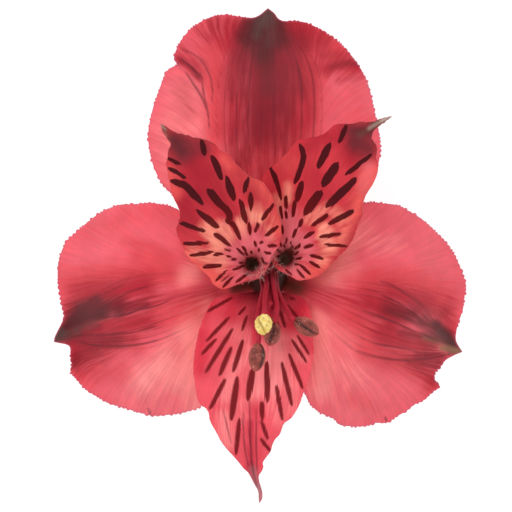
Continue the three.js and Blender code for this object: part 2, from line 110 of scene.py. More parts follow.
# The first point is inside the ovary's foot, where the CAD model leaves its gap.
STALK_PATH = [
    (0, -3.4, 4.06), (0, -3.64, 3.62), (0, -4.15, 2.7), (0, -5.4, 1.65), (0, -7.6, 1.1),
    (-0.2, -12, 1.06), (-0.9, -17, 1.06), (-1.8, -21, 1.06), (-2.3, -25, 1.06),
]

# ---------------------------------------------------------------- the tepals' forms and paint

# heading is the way a tepal points, in degrees. Its outline has a left and a right side up to its
# tip, as (along, across) points in its own frame. base is such a point too, and so is where patch
# lies. spine is how far to the left of a straight midrib the real one runs, and band_left and
# band_right how wide the darker band is on each side of it, by length along it. lines are the
# band's dark lines, as (place as a share of its half-width, darkness). fan is how fast the veins
# spread beyond the band, and fan_ink their darkness to the left and to the right. foot is how far
# across an open tepal begins, or how far a nectary's tube leans. mouth is where a nectary opens,
# patch the dark patch of painted shade down in it (its place and its stretch), and lift how far the
# left and the right side of the hood rise, LIFT_PLACE from its middle.
#
# The rest is in plan millimetres from the flower's axis, as x, y, x, y along a line:
# veins and streaks are (width, points...), drawn dark.
# folds are (height, width, points...). Height is how far the side to the left of the line,
# looking along it, stands above the other side.
# paint holds soft strokes for each layer of colour: (strength, radius, points...). The throat layer is
# painted shade, and strokes of other layers that paint shade or light are marked where they stand.
NO_SPINE = [(0, 0), (40, 0)]
TOP_TEPAL = dict(
    name="outer_tepal_top", heading=90, foot=0, fan=5.5, tip=(39.1, 0), fan_ink=(0.1, 0.06),
    spine=NO_SPINE,
    left=[
        (3.8, 1.5), (5.5, 3.6), (7.8, 8.2), (10.6, 13), (13.9, 16), (17.5, 17.3), (20.5, 17.6),
        (24, 17), (27, 16), (28.7, 15.4), (30, 14.7), (30.9, 13.3), (31.9, 13.8), (33.2, 13.4),
        (34.5, 12.7), (35.9, 11.5), (37.1, 9.8), (37.9, 8), (38.1, 6.2), (37.8, 4), (37.7, 3),
        (37.7, 2.2), (37.9, 1.6), (38.3, 0.95), (38.8, 0.38),
    ],
    right=[
        (3.8, -1.5), (5.5, -3.6), (7.6, -7.6), (10.2, -12), (13.2, -15), (16.5, -16.3), (19.8, -16.4),
        (22.6, -15.9), (25, -15.4), (27.9, -14.7), (31, -13.1), (33.6, -10.9), (35.8, -8), (37, -5.4),
        (37.2, -3.6), (37.2, -2.3), (37.6, -1.5), (38.3, -1), (38.8, -0.42),
    ],
    band_left=[
        (0, 0.8), (8, 3.4), (15, 5.8), (20, 6.6), (24, 6.7), (28, 6.4), (32, 5.6), (34, 4.9), (36, 3.9),
        (37.5, 2.4), (39.1, 0.5),
    ],
    band_right=[
        (0, 0.8), (8, 3.4), (15, 6), (20, 6.8), (25, 7), (29, 6.7), (32, 5.6), (34, 4.4), (36, 3),
        (37.5, 1.8), (39.1, 0.5),
    ],
    lines=[
        (-1.35, 0), (-1.12, 0.3), (-0.96, 0.85), (-0.84, 0.15), (-0.7, 0.8), (-0.56, 0.15),
        (-0.43, 0.25), (-0.1, 0.4), (0.18, 0.3), (0.3, 0.1), (0.44, 0.6), (0.58, 0.15), (0.7, 0.65),
        (0.84, 0.15), (0.97, 0.35), (1.15, 0.15), (1.4, 0),
    ],
    veins=[
        # The first and the third vein are dark lines in the creases along the folds under the left
        # lobe: painted shade.
        (0.34, -12.9, 31.6, -11.8, 30.7, -10.8, 29.8, -10, 28.6),
        (0.2, -10, 29.6, -9.6, 27.6, -9.4, 26, -8.7, 23.4),
        (0.3, -12.2, 29.7, -11, 27.9, -9.8, 26, -8.9, 23.8, -8.6, 21),
        (0.25, -12.8, 33, -10.8, 32.2, -9.3, 30.6, -8.3, 28, -8.2, 25),
    ],
    folds=[
        (0.65, 0.9, -14, 31.6, -12.3, 30.8, -10.4, 29.4, -9.2, 27, -8.8, 24),
        (0.35, 0.8, -12.4, 29.6, -11, 27.9, -9.8, 26, -8.7, 22),
        (-0.6, 0.9, 14, 30, 12, 29.6, 9.6, 28.4, 8, 26.4),
        (0.3, 0.8, 12, 32.4, 10, 32.4, 8, 31.6, 6.6, 29.4),
    ],
    paint=dict(
        pale=[(0.4, 5, -12, 26, -11, 21, -10.5, 18), (0.3, 4, -15, 21, -14, 15)],
        coral=[
            (0.4, 4, -10, 36.5, -6, 36), (0.5, 3, -9, 33, -8.5, 28), (1, 4.5, 5, 35.5, 9, 33.5),
            (0.8, 4, 6, 32, 6.5, 28), (0.6, 3, 11, 32.5, 9, 34), (0.9, 3, -7.3, 33, -7.8, 28, -7.6, 20),
            (0.9, 4, 5.2, 30, 6, 25, 5.6, 19), (0.8, 5, -3, 16, 3, 17),
            (0.8, 2.5, 8.5, 31.5, 12.5, 30.5), (0.3, 4, 10, 25, 13, 22), (0.3, 3, 12.6, 27, 14, 22),
        ],
        crimson=[
            (0.9, 2.6, -5, 36.6, -5.8, 34), (1, 3.6, 3.4, 36.4, 5.4, 33.5), (0.8, 3, 5, 36.4, 8, 35),
            (0.6, 3, -7.2, 37, -8.6, 34.4), (0.4, 3.5, 8.6, 33.6, 8, 30.6),
            (0.9, 4, -4.6, 33, -5, 28, -4.8, 22), (0.9, 4, 3.6, 33, 4.4, 28, 4.2, 22),
            (1, 5, 0, 33, 0, 20), (0.7, 4, -1, 19, -0.5, 16),
            # The two strokes on this line and the first two on the next lie along the folds' creases:
            # painted shade.
            (0.8, 1.4, -13.2, 31.4, -11.4, 30.2, -10, 28.8), (1, 1.9, 13.8, 30.6, 11, 30.8, 8.6, 30),
            (0.7, 1.4, 8, 32, 11.8, 32.4), (0.5, 1.2, 13.6, 29.2, 10.6, 28.4), (0.6, 3, -5, 21, -5, 15),
            (0.5, 2.4, -12.6, 33, -10.6, 31), (0.6, 3, 4, 21, 4, 17), (0.4, 3, -11.5, 24, -12.5, 27),
            (0.7, 2, 6.4, 30, 6.2, 23),
        ],
        wine=[
            (1, 5, -1.2, 32, -1, 26, -0.8, 21), (0.9, 3.6, 1.8, 33, 1.8, 24),
            (0.8, 2.6, -3.6, 34, -3.4, 30), (0.9, 1.8, -4.4, 35.2, -3.4, 36.8),
            # The narrow strokes here and at the start of the next line lie along the folds' creases:
            # painted shade. The faint broad ones after them darken the two upper lobes, partly as
            # painted shade where they curl.
            (0.6, 0.9, -12.9, 31.4, -11.4, 30.3, -10.2, 29),
            (0.5, 0.9, 13.6, 30.9, 11.4, 31, 9.4, 30.4), (0.2, 3, -10.4, 36, -8, 36.4),
            (0.15, 3, 4.4, 35.6, 8, 34.6), (0.7, 3, 3.6, 34, 4.2, 27), (0.5, 2.4, -4.4, 22, -4.4, 15),
            (0.3, 2, 4.6, 36, 5, 33.6), (0.4, 2, -3, 27, -2.6, 17), (0.3, 2.6, 2.4, 24, 2.6, 17),
            (0.4, 2, -4.8, 32, -5.2, 26),
        ],
        dusk=[
            (1, 3.8, -0.8, 38, -0.9, 34.4), (0.9, 2.4, -2.2, 36.4, -3, 34.6),
            (0.9, 2.4, 1.6, 36.8, 2, 34.4), (0.8, 3, -0.8, 34.6, -0.8, 32), (0.4, 2, -0.2, 31.6, 0, 27),
        ],
        umber=[
            (1, 2.4, 0.2, 39.4, -0.2, 37.6), (0.7, 1.4, -1.2, 38, -1.6, 35.2),
            (0.4, 1.6, 0.4, 37, 0.2, 34),
        ],
    ),
)
LEFT_TEPAL = dict(
    name="outer_tepal_left", heading=197.9, foot=0.63, fan=8, tip=(33.2, 0), fan_ink=(0.11, 0.03),
    spine=NO_SPINE,
    left=[
        (3.8, 2.2), (6.5, 5.2), (9.5, 10.5), (12.5, 14.2), (15.5, 15.6), (17.9, 15.7), (20.1, 15.4),
        (22.5, 14.8), (24.3, 13.8), (26, 12.6), (28.2, 11.1), (29.6, 9.6), (30.8, 8.2), (31.6, 6.5),
        (32.2, 5), (31.7, 3.9), (31.5, 2.6), (31.2, 1.4), (31.6, 0.9), (32.3, 0.5),
    ],
    right=[
        (3.7, -0.9), (5.8, -4.5), (8, -9.5), (9.8, -13), (11.7, -14.3), (13.3, -15.1), (15.5, -15.6),
        (17.5, -16.2), (19.6, -16.2), (21.3, -15.9), (23.2, -15.2), (25.2, -14.3), (26.9, -13.5),
        (28.2, -12.1), (29.2, -10.4), (29.8, -8.7), (30.1, -6.9), (30.4, -4.8), (30.6, -3.2),
        (31.2, -2.4), (32.3, -1.3), (33, -0.5),
    ],
    band_left=[
        (0, 0.6), (8, 2.4), (14, 4), (18.3, 4.5), (21.3, 4.2), (25.7, 3), (28, 2.1), (30, 1.1),
        (33.2, 0.3),
    ],
    band_right=[(0, 0.6), (8, 2.4), (14, 4.4), (20, 5.4), (25, 4.6), (30, 1.9), (33.2, 0.3)],
    lines=[
        (-1.3, 0), (-1, 0.3), (-0.84, 0.1), (-0.68, 0.35), (-0.5, 0.15), (-0.35, 0.3), (-0.18, 0.5),
        (0.05, 0.2), (0.25, 0.3), (0.45, 0.6), (0.62, 0.2), (0.8, 0.3), (1, 0.65), (1.15, 0.2),
        (1.35, 0),
    ],
    veins=[
        (0.35, -17.7, -19.8, -17.3, -21),
        (0.24, -29.3, -9.4, -27.5, -9.2, -24.7, -9.1, -21.9, -9, -19.2, -8.6, -16.4, -7.8),
        (0.24, -28, -10, -26.5, -10.5, -23.8, -10.8, -21, -10.8, -18.3, -10.4, -16.2, -9.8),
        (0.3, -24.6, -6.6, -22.9, -6.4, -20.6, -6, -19.2, -5.4, -16.4, -4.8, -14.6, -4.1),
        (0.2, -27.6, -5, -26.5, -4.1, -23.8, -2.9, -21, -1.6),
        (0.18, -24.4, -5.2, -21.9, -3.6, -20.3, -2.8, -17.6, -2),
    ],
    folds=[
        (-0.5, 1, -29, -11.4, -25, -10.8, -20, -10.8, -15, -9.6),
        (0.5, 1.2, -30, -8, -26, -6.9, -21, -6, -14, -4.3),
    ],
    paint=dict(
        pale=[
            (0.9, 3.5, -10.6, -7, -11, -13, -13, -16), (0.9, 4, -15, -13.5, -18, -15.5),
            (0.9, 2.5, -11, 0.2, -12.5, -0.6), (0.2, 4, -20, -18, -14, -19),
            # The strokes beside the lower inner tepal, from y = -5 to -13 near x = -10, are partly the
            # wing's own paleness and partly painted light that lifts that tepal's shade.
            (1, 3, -9.6, -5, -10.4, -9, -10.6, -13), (0.8, 2.5, -10.8, -16, -10.6, -20),
            (0.5, 2.5, -13, -9, -15, -11.5), (0.9, 2.6, -10.2, -5.6, -12, -8.4),
        ],
        coral=[
            (0.5, 4, -30, -1, -27, -1), (0.4, 3.4, -26, 6, -20, 8.4, -14, 9.4),
            (0.9, 3.4, -28, -1.4, -22, 0, -15, -0.5), (0.8, 4, -16, -6, -11, -5),
            (0.5, 1.6, -21, 4.6, -17, 3.8, -15, 2.4), (0.9, 3.5, -26, -9, -20, -8),
            (0.6, 2, -29.6, -3, -29, -5), (0.5, 2, -24, -11.5, -19, -11), (0.7, 3, -19, 2.4, -15, 1.4),
            (0.6, 3.4, -28, -15, -22, -14.4),
        ],
        crimson=[
            (1, 3.8, -27, -3.6, -22, -2.6, -18, -2), (0.9, 3.4, -28, -8.4, -22, -7.8, -18, -7),
            # The first stroke on this line is painted shade, a band running in from the throat.
            (0.5, 1.8, -16.5, -4.3, -12, -3.4, -8, -2.8), (0.8, 1.8, -28.6, -12.6, -26, -11.4),
            (0.8, 3, -29.6, -6, -27, -5), (0.7, 1.6, -29, -10.4, -24, -10, -20, -9.8),
            (0.9, 3, -28.6, -11.6, -24, -10.6), (0.5, 2.5, -27.6, -14.4, -24.6, -12.6),
            (0.5, 2.6, -28, -2.6, -25, -2),
        ],
        wine=[
            (1, 2.4, -28.5, -5.6, -25, -4.8, -22, -4.6), (0.8, 1.5, -22, -5.2, -18, -4.6),
            (0.6, 1.4, -29, -13.8, -28.2, -12.4), (0.6, 1.3, -29, -9, -25, -8),
            (0.7, 2.4, -29, -9.6, -25, -10, -22, -9.8), (0.5, 2, -28.4, -13, -25.4, -11.6),
        ],
        dusk=[
            (1, 2.1, -30.8, -9, -29.2, -7.4, -27.6, -6.2),
            (1, 1.8, -28.4, -7.2, -26.4, -6.5, -24.6, -6.1), (0.7, 1.5, -25, -6, -22, -5.8),
            (0.7, 1.3, -27.8, -5, -25.2, -3.9), (0.6, 1.4, -29, -7.6, -26, -5.2, -24, -4.8),
        ],
        umber=[
            (1, 1.5, -31.8, -10.2, -30.6, -9), (0.6, 1.3, -30, -9.4, -28.4, -8.8),
            (0.4, 1, -28, -8.4, -25.4, -7.4),
        ],
        # Painted shade on the tepal's base, under the lips of the inner tepals.
        throat_shade=[(1, 2, -2, -1.2, -4.2, -1.6), (0.9, 1.2, -2, -1.6, -5, -2.3)],
    ),
)
RIGHT_TEPAL = dict(
    name="outer_tepal_right", heading=-22.1, foot=-0.41, fan=8, tip=(31, 0), fan_ink=(0.03, 0.1),
    spine=NO_SPINE,
    left=[
        (3.8, 1.1), (6, 5.5), (7.8, 11), (9.3, 14.8), (12.1, 15.9), (14.1, 16.4), (15.9, 16.2),
        (17.4, 16), (19.1, 15.5), (20.8, 14.8), (22.5, 14.1), (24.2, 13), (25.7, 11.7), (26.8, 10.5),
        (27.8, 9.2), (28.2, 7.6), (28.7, 5.6), (28.8, 4), (29, 2.6), (29.5, 1.2),
    ],
    right=[
        (3.8, -2), (6.8, -5.2), (9.5, -10), (11.6, -14.1), (12.5, -15.1), (14.2, -16), (16, -16.2),
        (17.1, -16.2), (18.2, -16.7), (20.2, -16.2), (22.1, -15.3), (22.9, -14.6), (24.6, -13.8),
        (25.4, -12.7), (26.5, -11.3), (27.4, -9.8), (28.4, -8.7), (29.1, -7.2), (29.8, -6), (29, -5.7),
        (28.4, -4.4), (28.8, -3.3), (29.1, -2.2), (30, -1),
    ],
    band_left=[(0, 0.6), (8, 2.2), (14, 4.2), (20, 5.2), (25, 3.6), (28, 1.6), (31, 0.3)],
    band_right=[
        (0, 0.6), (8, 2.8), (14, 5), (17.4, 5.7), (21.4, 4.9), (24.3, 4), (27, 2.6), (29.2, 1.2),
        (31, 0.3),
    ],
    lines=[
        (-1.3, 0), (-1, 0.4), (-0.82, 0.2), (-0.63, 0.5), (-0.48, 0.2), (-0.35, 0.45), (-0.15, 0.2),
        (0.07, 0.5), (0.3, 0.2), (0.56, 0.35), (0.78, 0.2), (1, 0.35), (1.2, 0.1), (1.4, 0),
    ],
    veins=[
        (0.35, 17.3, -21.1, 17.6, -22),
        (0.22, 16.4, -1.2, 17.8, -1.6, 20.1, -3, 22.4, -4.6, 24.2, -6.4),
        (0.22, 16.6, -3.2, 18.8, -4.2, 21.3, -5.8, 23, -7),
        (0.18, 14, -5.6, 16.5, -6.5, 18.8, -7.3, 21.4, -8.4),
        (0.2, 13.6, -9.4, 16.5, -10.5, 19.9, -11, 23.4, -12.1),
        (0.24, 13, -11.4, 16.5, -12.4, 19.9, -12.8, 23.4, -12.6, 27, -12),
    ],
    folds=[
        (0.5, 1, 25, -13, 21, -13, 16, -12.3, 12, -10.6),
        (-0.5, 1.2, 27, -11, 22, -8.6, 17, -6.6, 12, -5),
    ],
    paint=dict(
        pale=[
            (0.9, 3, 7.4, -7, 7.6, -12, 7.8, -17), (0.45, 4, 9, -13, 13, -14.6),
            (0.3, 2.6, 15.6, 4.2, 18.6, 4.3), (0.4, 3.4, 11, 5, 14, 6), (0.15, 4, 9, -18, 15, -19),
            (0.5, 3, 9, -1, 12, 0), (0.5, 3, 12.5, -9.6, 10.5, -8.5),
            # The strokes from (7.4, 0.2) and from (9.2, 0.4) are painted light, lifting the shade that
            # the upper right inner tepal casts here.
            (0.8, 3, 7.4, 0.2, 10, 2.4, 12, 5), (0.6, 2.2, 7, -6.6, 7.4, -8.6),
            (0.6, 2.2, 9.2, 0.4, 11.4, 2.8),
        ],
        coral=[
            (0.9, 4, 12, -6.5, 15, -8.5), (0.9, 4, 16, -1, 22, -1.5, 26, -3.4),
            (0.8, 3, 25.6, -5, 27, -8), (0.6, 3, 15, -11.4, 20, -12), (0.7, 2.4, 21, -14.2, 24, -16.6),
            (0.7, 3, 12.4, -1.4, 15, -1.4), (0.5, 3, 9, -4, 12, -4.4), (0.6, 3, 17, -13, 21, -14),
            (0.5, 2.6, 13, -18.6, 15, -19.6), (0.4, 2.6, 13, -9.6, 14.4, -12),
        ],
        crimson=[
            (1, 4.4, 15, -4.4, 18, -6, 18, -8), (0.9, 2.8, 18, -2.8, 23, -4.2),
            # The first stroke on this line is painted shade, a band running out from the throat.
            (0.5, 2, 4, -2.4, 9, -2.9, 14, -4.2), (0.3, 2.6, 5, -2.4, 8.6, -5),
            (0.9, 2.8, 17, -9.4, 23, -10.6), (0.8, 2.6, 22.4, -13.4, 24.4, -15.4),
            (0.8, 2.4, 26, -6.2, 26.6, -8.4), (0.6, 2.6, 23, -4.2, 26.4, -4.6),
            (0.5, 2.6, 18, -12.6, 22, -13.4),
        ],
        wine=[
            (1, 2.2, 17.5, -5.4, 21.4, -6), (0.7, 1.6, 20, -8.8, 24.4, -10.2),
            (0.6, 1.2, 22, -12, 25.6, -12.2), (0.5, 1.5, 21, -13, 24.6, -13.4),
            (0.6, 2.4, 24, -12.4, 26, -13.6), (0.4, 1.6, 22.6, -5.4, 25.6, -6),
        ],
        dusk=[
            (0.8, 1.5, 22.6, -7.3, 24.4, -8, 26.6, -9.4), (0.3, 1.3, 20.6, -6.5, 24.4, -8),
            (0.6, 1.2, 26.8, -10.4, 24, -8.9), (0.9, 1.2, 27.6, -10.8, 26.2, -8.9, 24.8, -7.6),
            (0.5, 1, 25, -7.5, 23.2, -6.4), (0.2, 1, 22, -6.9, 18, -5.7),
        ],
        umber=[
            (1, 1.2, 28.6, -11.6, 27, -11.3), (0.6, 1.2, 27.2, -10.4, 25.4, -9),
            (0.4, 1, 26, -10.4, 23, -9),
        ],
        olive=[(0.9, 0.9, 28.2, -11.6, 25.8, -11.1), (0.2, 0.9, 25.4, -10.6, 23, -9.8)],
        # Painted shade on the tepal's base, under the lips of the inner tepals.
        throat_shade=[(1, 2.4, 2.4, -1.4, 4.2, -2.1)],
    ),
)
LOWER_TEPAL = dict(
    name="inner_tepal_lower", heading=-92.2, foot=0, fan=20, tip=(33.9, 0),
    spine=[
        (0, 0), (10, -0.6), (20, -1.4), (25, -1.9), (28.5, -1.1), (29.8, -0.85), (31.1, -0.4),
        (32.2, 0.1), (33.2, 0.15), (33.9, 0),
    ],
    left=[
        (3.1, 1.6), (3, 3.4), (3.4, 5.2), (5.2, 6.3), (7, 6.7), (9.2, 6.9), (11.5, 7.1), (13.7, 6.8),
        (16, 6.3), (17.8, 5.7), (19.6, 5.1), (21.3, 4), (21.9, 3.2), (23.6, 2.6), (24.3, 2),
        (25.2, 1.6), (26.1, 1.4), (27, 0.8), (27.9, 0.3), (28.5, 0.4), (29.1, 0.2), (29.8, -0.2),
        (30.7, -0.1), (31.5, 0.2), (32.2, 0.4), (33.2, 0.4),
    ],
    right=[
        (3.1, -1.6), (3.2, -3.6), (3.6, -6.2), (4.4, -7.9), (5.9, -8.7), (8, -9.5), (10.3, -10),
        (13.5, -10.4), (17, -10), (19.4, -9.3), (20.4, -8.1), (22.1, -7.6), (23.6, -6.7), (25, -5.9),
        (26.1, -5), (27, -4.1), (28.2, -3), (28.8, -2.5), (29.4, -1.8), (30.2, -1.3), (31.1, -0.8),
        (32.1, -0.2), (33.1, -0.1),
    ],
    band_left=[(0, 0.8), (10, 3), (17, 3.4), (24, 1.6), (30, 0.5), (33.9, 0.2)],
    band_right=[(0, 0.8), (10, 3.4), (17, 4.4), (24, 3.2), (30, 1), (33.9, 0.2)],
    veins=[
        (0.22, -3.7, -20.5, -3.5, -25, -2.9, -28.4),
        (0.25, -2.7, -18.6, -2.6, -25, -2.2, -29, -1.6, -31.4), (0.2, -1.7, -20, -1.7, -26, -1.6, -29),
        (0.2, -6.6, -20, -5.4, -25),
    ],
    streaks=[
        (0.41, -5.3, -3.6, -8.8, -5.6), (0.45, -5.7, -6.5, -9.1, -10), (0.41, -7.6, -9.7, -9.7, -11.9),
        (0.56, -5.2, -8.2, -9.2, -14.6), (0.63, -5.4, -10.9, -7.1, -15),
        (0.63, -3.7, -9.9, -5.1, -14.4), (0.36, -3.1, -6.3, -3.8, -8.4), (0.36, -3.3, -5, -4.3, -6.1),
        (0.59, -6.3, -15.6, -8.5, -19.9), (0.86, -4.5, -15.3, -5.4, -21.5), (0.9, -2.2, -14, -3, -18.6),
        (0.59, -4.2, -21.4, -4.7, -26.6), (0.77, -0.2, -13.1, -0.1, -18.9),
        (0.56, -0.9, -18.9, -0.8, -21.5), (0.5, -1, -21.7, 0, -24.4), (0.48, -1.1, -24.3, 0.3, -26.1),
        (0.36, 2.8, -4.7, 4.4, -6.6), (0.32, 3.2, -3.6, 3.9, -3.9), (0.41, 1.8, -5.6, 2.5, -7.9),
        (0.32, 1.4, -7.2, 1.8, -8.3), (0.54, 3.1, -11.9, 5.1, -16.9), (0.41, 3.5, -9.8, 5.7, -13.1),
        (0.36, 4.3, -9.2, 6, -11.9), (0.59, 2, -13.1, 3.5, -19.4), (0.54, 1.2, -16.5, 2.1, -21.5),
    ],
    paint=dict(
        pale=[
            (1, 3.2, -1.2, -12, -1.4, -17), (0.8, 2.2, -4.4, -13, -6.2, -18),
            (0.5, 2.2, 2.2, -12, 3, -16), (0.8, 2, -6.4, -21, -6, -25), (0.5, 2, -3.6, -19, -3.6, -21),
            (0.5, 2, 0.8, -19, 1.4, -21.4), (0.4, 3, -5, -8, -3, -11),
            (1, 2, 1.6, -9.6, 1.2, -13, 0.8, -17), (0.6, 1.7, 1.3, -11.4, 1, -15),
            (0.6, 2, 4, -9, 5, -12), (0.5, 2.2, 3.4, -17, 4, -20),
        ],
        crimson=[
            (0.8, 2, -9.6, -6.4, -8, -4.4), (0.7, 1.1, -1.7, -8.2, -1.9, -10.4),
            (0.8, 3, -5, -3.4, -5.4, -6), (1, 3, 5, -4.6, 4, -7.4), (0.8, 2.5, -9.8, -9, -10, -14),
            (0.6, 2, 5.6, -9, 6, -11), (0.5, 2.2, -2.2, -20, -2.2, -28),
        ],
        wine=[
            (1, 3.2, -1.6, -2, 1.6, -2), (0.8, 2.2, -1.4, -4, -2, -6.6), (0.8, 2, 1, -4, 1.4, -5.2),
            # The first stroke on this line darkens the left side of the curled tip: painted shade.
            (0.8, 1.3, -2.5, -28.4, -1.7, -31), (0.35, 0.9, -2.6, -22, -2.5, -27.6),
            (0.5, 2.2, 2.6, -3.2, 4.4, -4), (0.35, 2, -3, -3, -3.4, -4.4),
            (0.5, 2.4, -4, -3, 0, -3, 4.8, -3.4), (0.2, 2.6, -2.2, -6.4, 0.4, -6.2),
            (0.3, 1.6, 3.2, -5.4, 4, -6.6),
        ],
        # The grey-pink umber strokes on the long tip are painted shade where it curls.
        umber=[(0.9, 1.3, -0.9, -34, -1.3, -31.6), (0.6, 1, -1.6, -31.4, -2.2, -28.8)],
    ),
)
UPPER_LEFT_TEPAL = dict(
    name="inner_tepal_upper_left", heading=123.3, mouth=(-2.35, 1.32, 20.9), foot=(0, 0),
    patch=(0.1, 0, 1), lift=(0.6, 2.4), base=(-2.15, 0.3), tip=(24.5, -0.1),
    spine=[(0, 0), (8, -0.3), (18, -0.8), (21.2, -0.9), (22.3, -0.45), (23.3, -0.2), (24.5, -0.1)],
    left=[
        (-1.55, 1.9), (-1.35, 3.3), (-1.1, 4.7), (-0.6, 5.7), (0.5, 6.1), (2.5, 6.5), (4.3, 7),
        (6.1, 7.3), (7.7, 7.2), (9, 7), (10.3, 6.5), (11.1, 5.6), (12.6, 4.5), (13.9, 4.3), (16.1, 3.7),
        (17.8, 2.9), (19.3, 2.3), (20.7, 0.9), (21.2, 0.3), (22.3, 0.3), (23.3, 0.3),
    ],
    right=[
        (-1.9, -0.45), (-1.54, -1.4), (-0.76, -2.7), (-0.1, -4.2), (1, -5.6), (2.5, -6.7), (4.1, -7.3),
        (5.8, -7.7), (7.8, -7.9), (9.7, -7.5), (11.4, -6.4), (12.7, -6.1), (14, -5.9), (15.1, -6),
        (16.5, -5.2), (17.9, -5), (18.9, -4.2), (20.4, -2.9), (21.2, -2.1), (22, -1.4), (22.6, -1),
        (23.5, -0.6),
    ],
    streaks=[
        (0.82, -9.7, 19.5, -9.3, 17.3), (0.94, -8.2, 17.2, -6.8, 13.8), (1.05, -6.1, 14.1, -5, 10.7),
        (0.7, -2.9, 14, -3.5, 11.8), (0.7, -2.6, 11.9, -2.5, 9.2), (0.82, -4.1, 10.7, -3.2, 7.4),
        (1.2, -8.8, 12.3, -7.4, 10.6, -6, 9), (0.95, -6.6, 9.9, -5.6, 8.6, -6, 7.5),
        (0.75, -6.2, 7.6, -5.1, 7.1, -4.6, 6.2, -4, 4.9), (0.59, -14.8, 16.9, -12.8, 15.9),
        (0.66, -14.5, 15.4, -12, 13.9), (1.05, -14.3, 13.5, -12.4, 12.9, -9.6, 10.1),
        (0.94, -10.4, 9.2, -7.3, 6.7), (0.7, -12.9, 7.4, -9.3, 6.1), (0.7, -7.9, 5.8, -5.5, 4),
        (0.59, -12.5, 4.3, -8.7, 4.4), (0.59, -11.4, 2.6, -8.1, 3.1), (0.48, -8, 2.7, -6.6, 2.8),
        (0.59, -9.6, 0.9, -6.8, 1.1), (0.32, -7.7, -1.2, -6, 0.5), (0.22, -6.9, -1.2, -5.7, -0.3),
        (0.38, -6.6, -2.1, -5.2, -0.6), (0.48, -4.7, -1.4, -3, -0.1), (0.38, -5.2, 0.5, -3.8, 0.9),
        (0.4, -6.4, 3.5, -5.4, 3.2), (0.38, -6.1, 2.5, -5.4, 2.4), (0.43, -5.4, 2, -4.6, 2),
        (0.38, -4.3, 1.5, -3.6, 1.5), (0.48, -4.6, 3.6, -3.5, 2.6), (0.48, -3.8, 3.9, -3.2, 3.2),
        (0.43, -2.6, 3.2, -2.3, 2.9), (0.4, -2, 4.7, -1.8, 3.9), (0.43, -1.2, 4.3, -0.7, 4.7),
        (0.52, -2.8, 7.4, -2.7, 5.6), (0.52, -1.4, 7.4, -1.9, 6), (0.66, 0.8, 10.1, -0.9, 7.8),
        (0.66, 1.6, 6.9, -0.5, 5.4), (0.48, -0.1, 4, 1.4, 4), (0.4, -0.6, 3.1, 0.5, 2.8),
        (0.32, -1.3, 3.7, -1.4, 3.1), (0.32, -0.9, 2.2, -0.6, 1.6), (0.32, -0.9, 1.7, -0.1, 1.3),
        (0.34, -3.4, 3, -3, 2.6), (0.34, -4, 1, -3.4, 1.1), (0.34, -3.2, -0.3, -2.8, 0.1),
    ],
    paint=dict(
        salmon=[
            (0.9, 2.4, -12.6, 2.5, -9, 0, -7, -1.6), (0.6, 2, -14.4, 14.6, -13.6, 11.5),
            (0.8, 2.6, 1.4, 8, 1, 6.4), (0.6, 3, -2, 13, 0, 11.5), (0.5, 2, -6, 16.4, -4.4, 14.6),
        ],
        red=[
            (0.9, 4, -11, 16, -9.6, 11.5), (0.7, 2.6, -6.6, 11, -5.6, 8), (0.6, 2, -12.8, 9, -12.8, 7),
            (0.6, 2.5, -8, 14.4, -7.4, 13), (0.5, 2, -10.6, 16.6, -9, 14),
            (0.8, 2.4, -12.4, 10, -10.8, 7.4), (0.5, 2, -4.4, 14.4, -2.6, 12),
            (0.4, 2, -2.4, 11.6, -1.2, 10.6),
        ],
        glow=[
            (0.85, 2, -9, 6.4, -8, 5, -7.4, 3.8), (0.5, 1.6, -11, 3.6, -9, 2),
            (0.7, 1.4, -4, 7.4, -3.2, 5.6), (0.5, 1.4, -3, 8.8, -1.4, 8), (0.2, 1.4, -1.6, 9.6, 0.4, 8),
            (0.4, 1.6, -7, 0.6, -6, 2), (0.8, 1.5, -8.4, 2.1, -6.6, 1.9),
            (0.8, 1.7, -6.8, 6.8, -5.6, 5.2), (0.5, 1.2, -7.8, 4.6, -6.6, 4.2),
            (0.5, 1.2, -0.2, 6.6, 0.4, 5), (0.5, 1.4, -2.4, 7.6, -1.2, 7.8),
        ],
        pink=[
            # Round the nectary these are partly the tepal's own pink and partly painted light, lifting
            # the funnel's shade.
            (1, 3.4, -4.4, 2.6, -1.8, 4.6, 0, 2.6), (0.8, 2, -4, 0.2, -2, 0),
            (0.5, 1.5, -6, -1, -4.6, -1),
        ],
        wine=[(1, 3, -13.8, 19.4, -12.6, 17.8), (0.6, 2.4, -12.6, 19.4, -9.6, 18.6)],
        umber=[(0.8, 1.1, -15.9, 21.9, -15.2, 21), (0.35, 0.9, -15, 20.8, -14.4, 19.8)],
        ash=[(0.5, 0.35, -15.8, 21.7, -15, 21), (0.3, 0.25, -15.2, 20.6, -14.8, 20)],
    ),
)
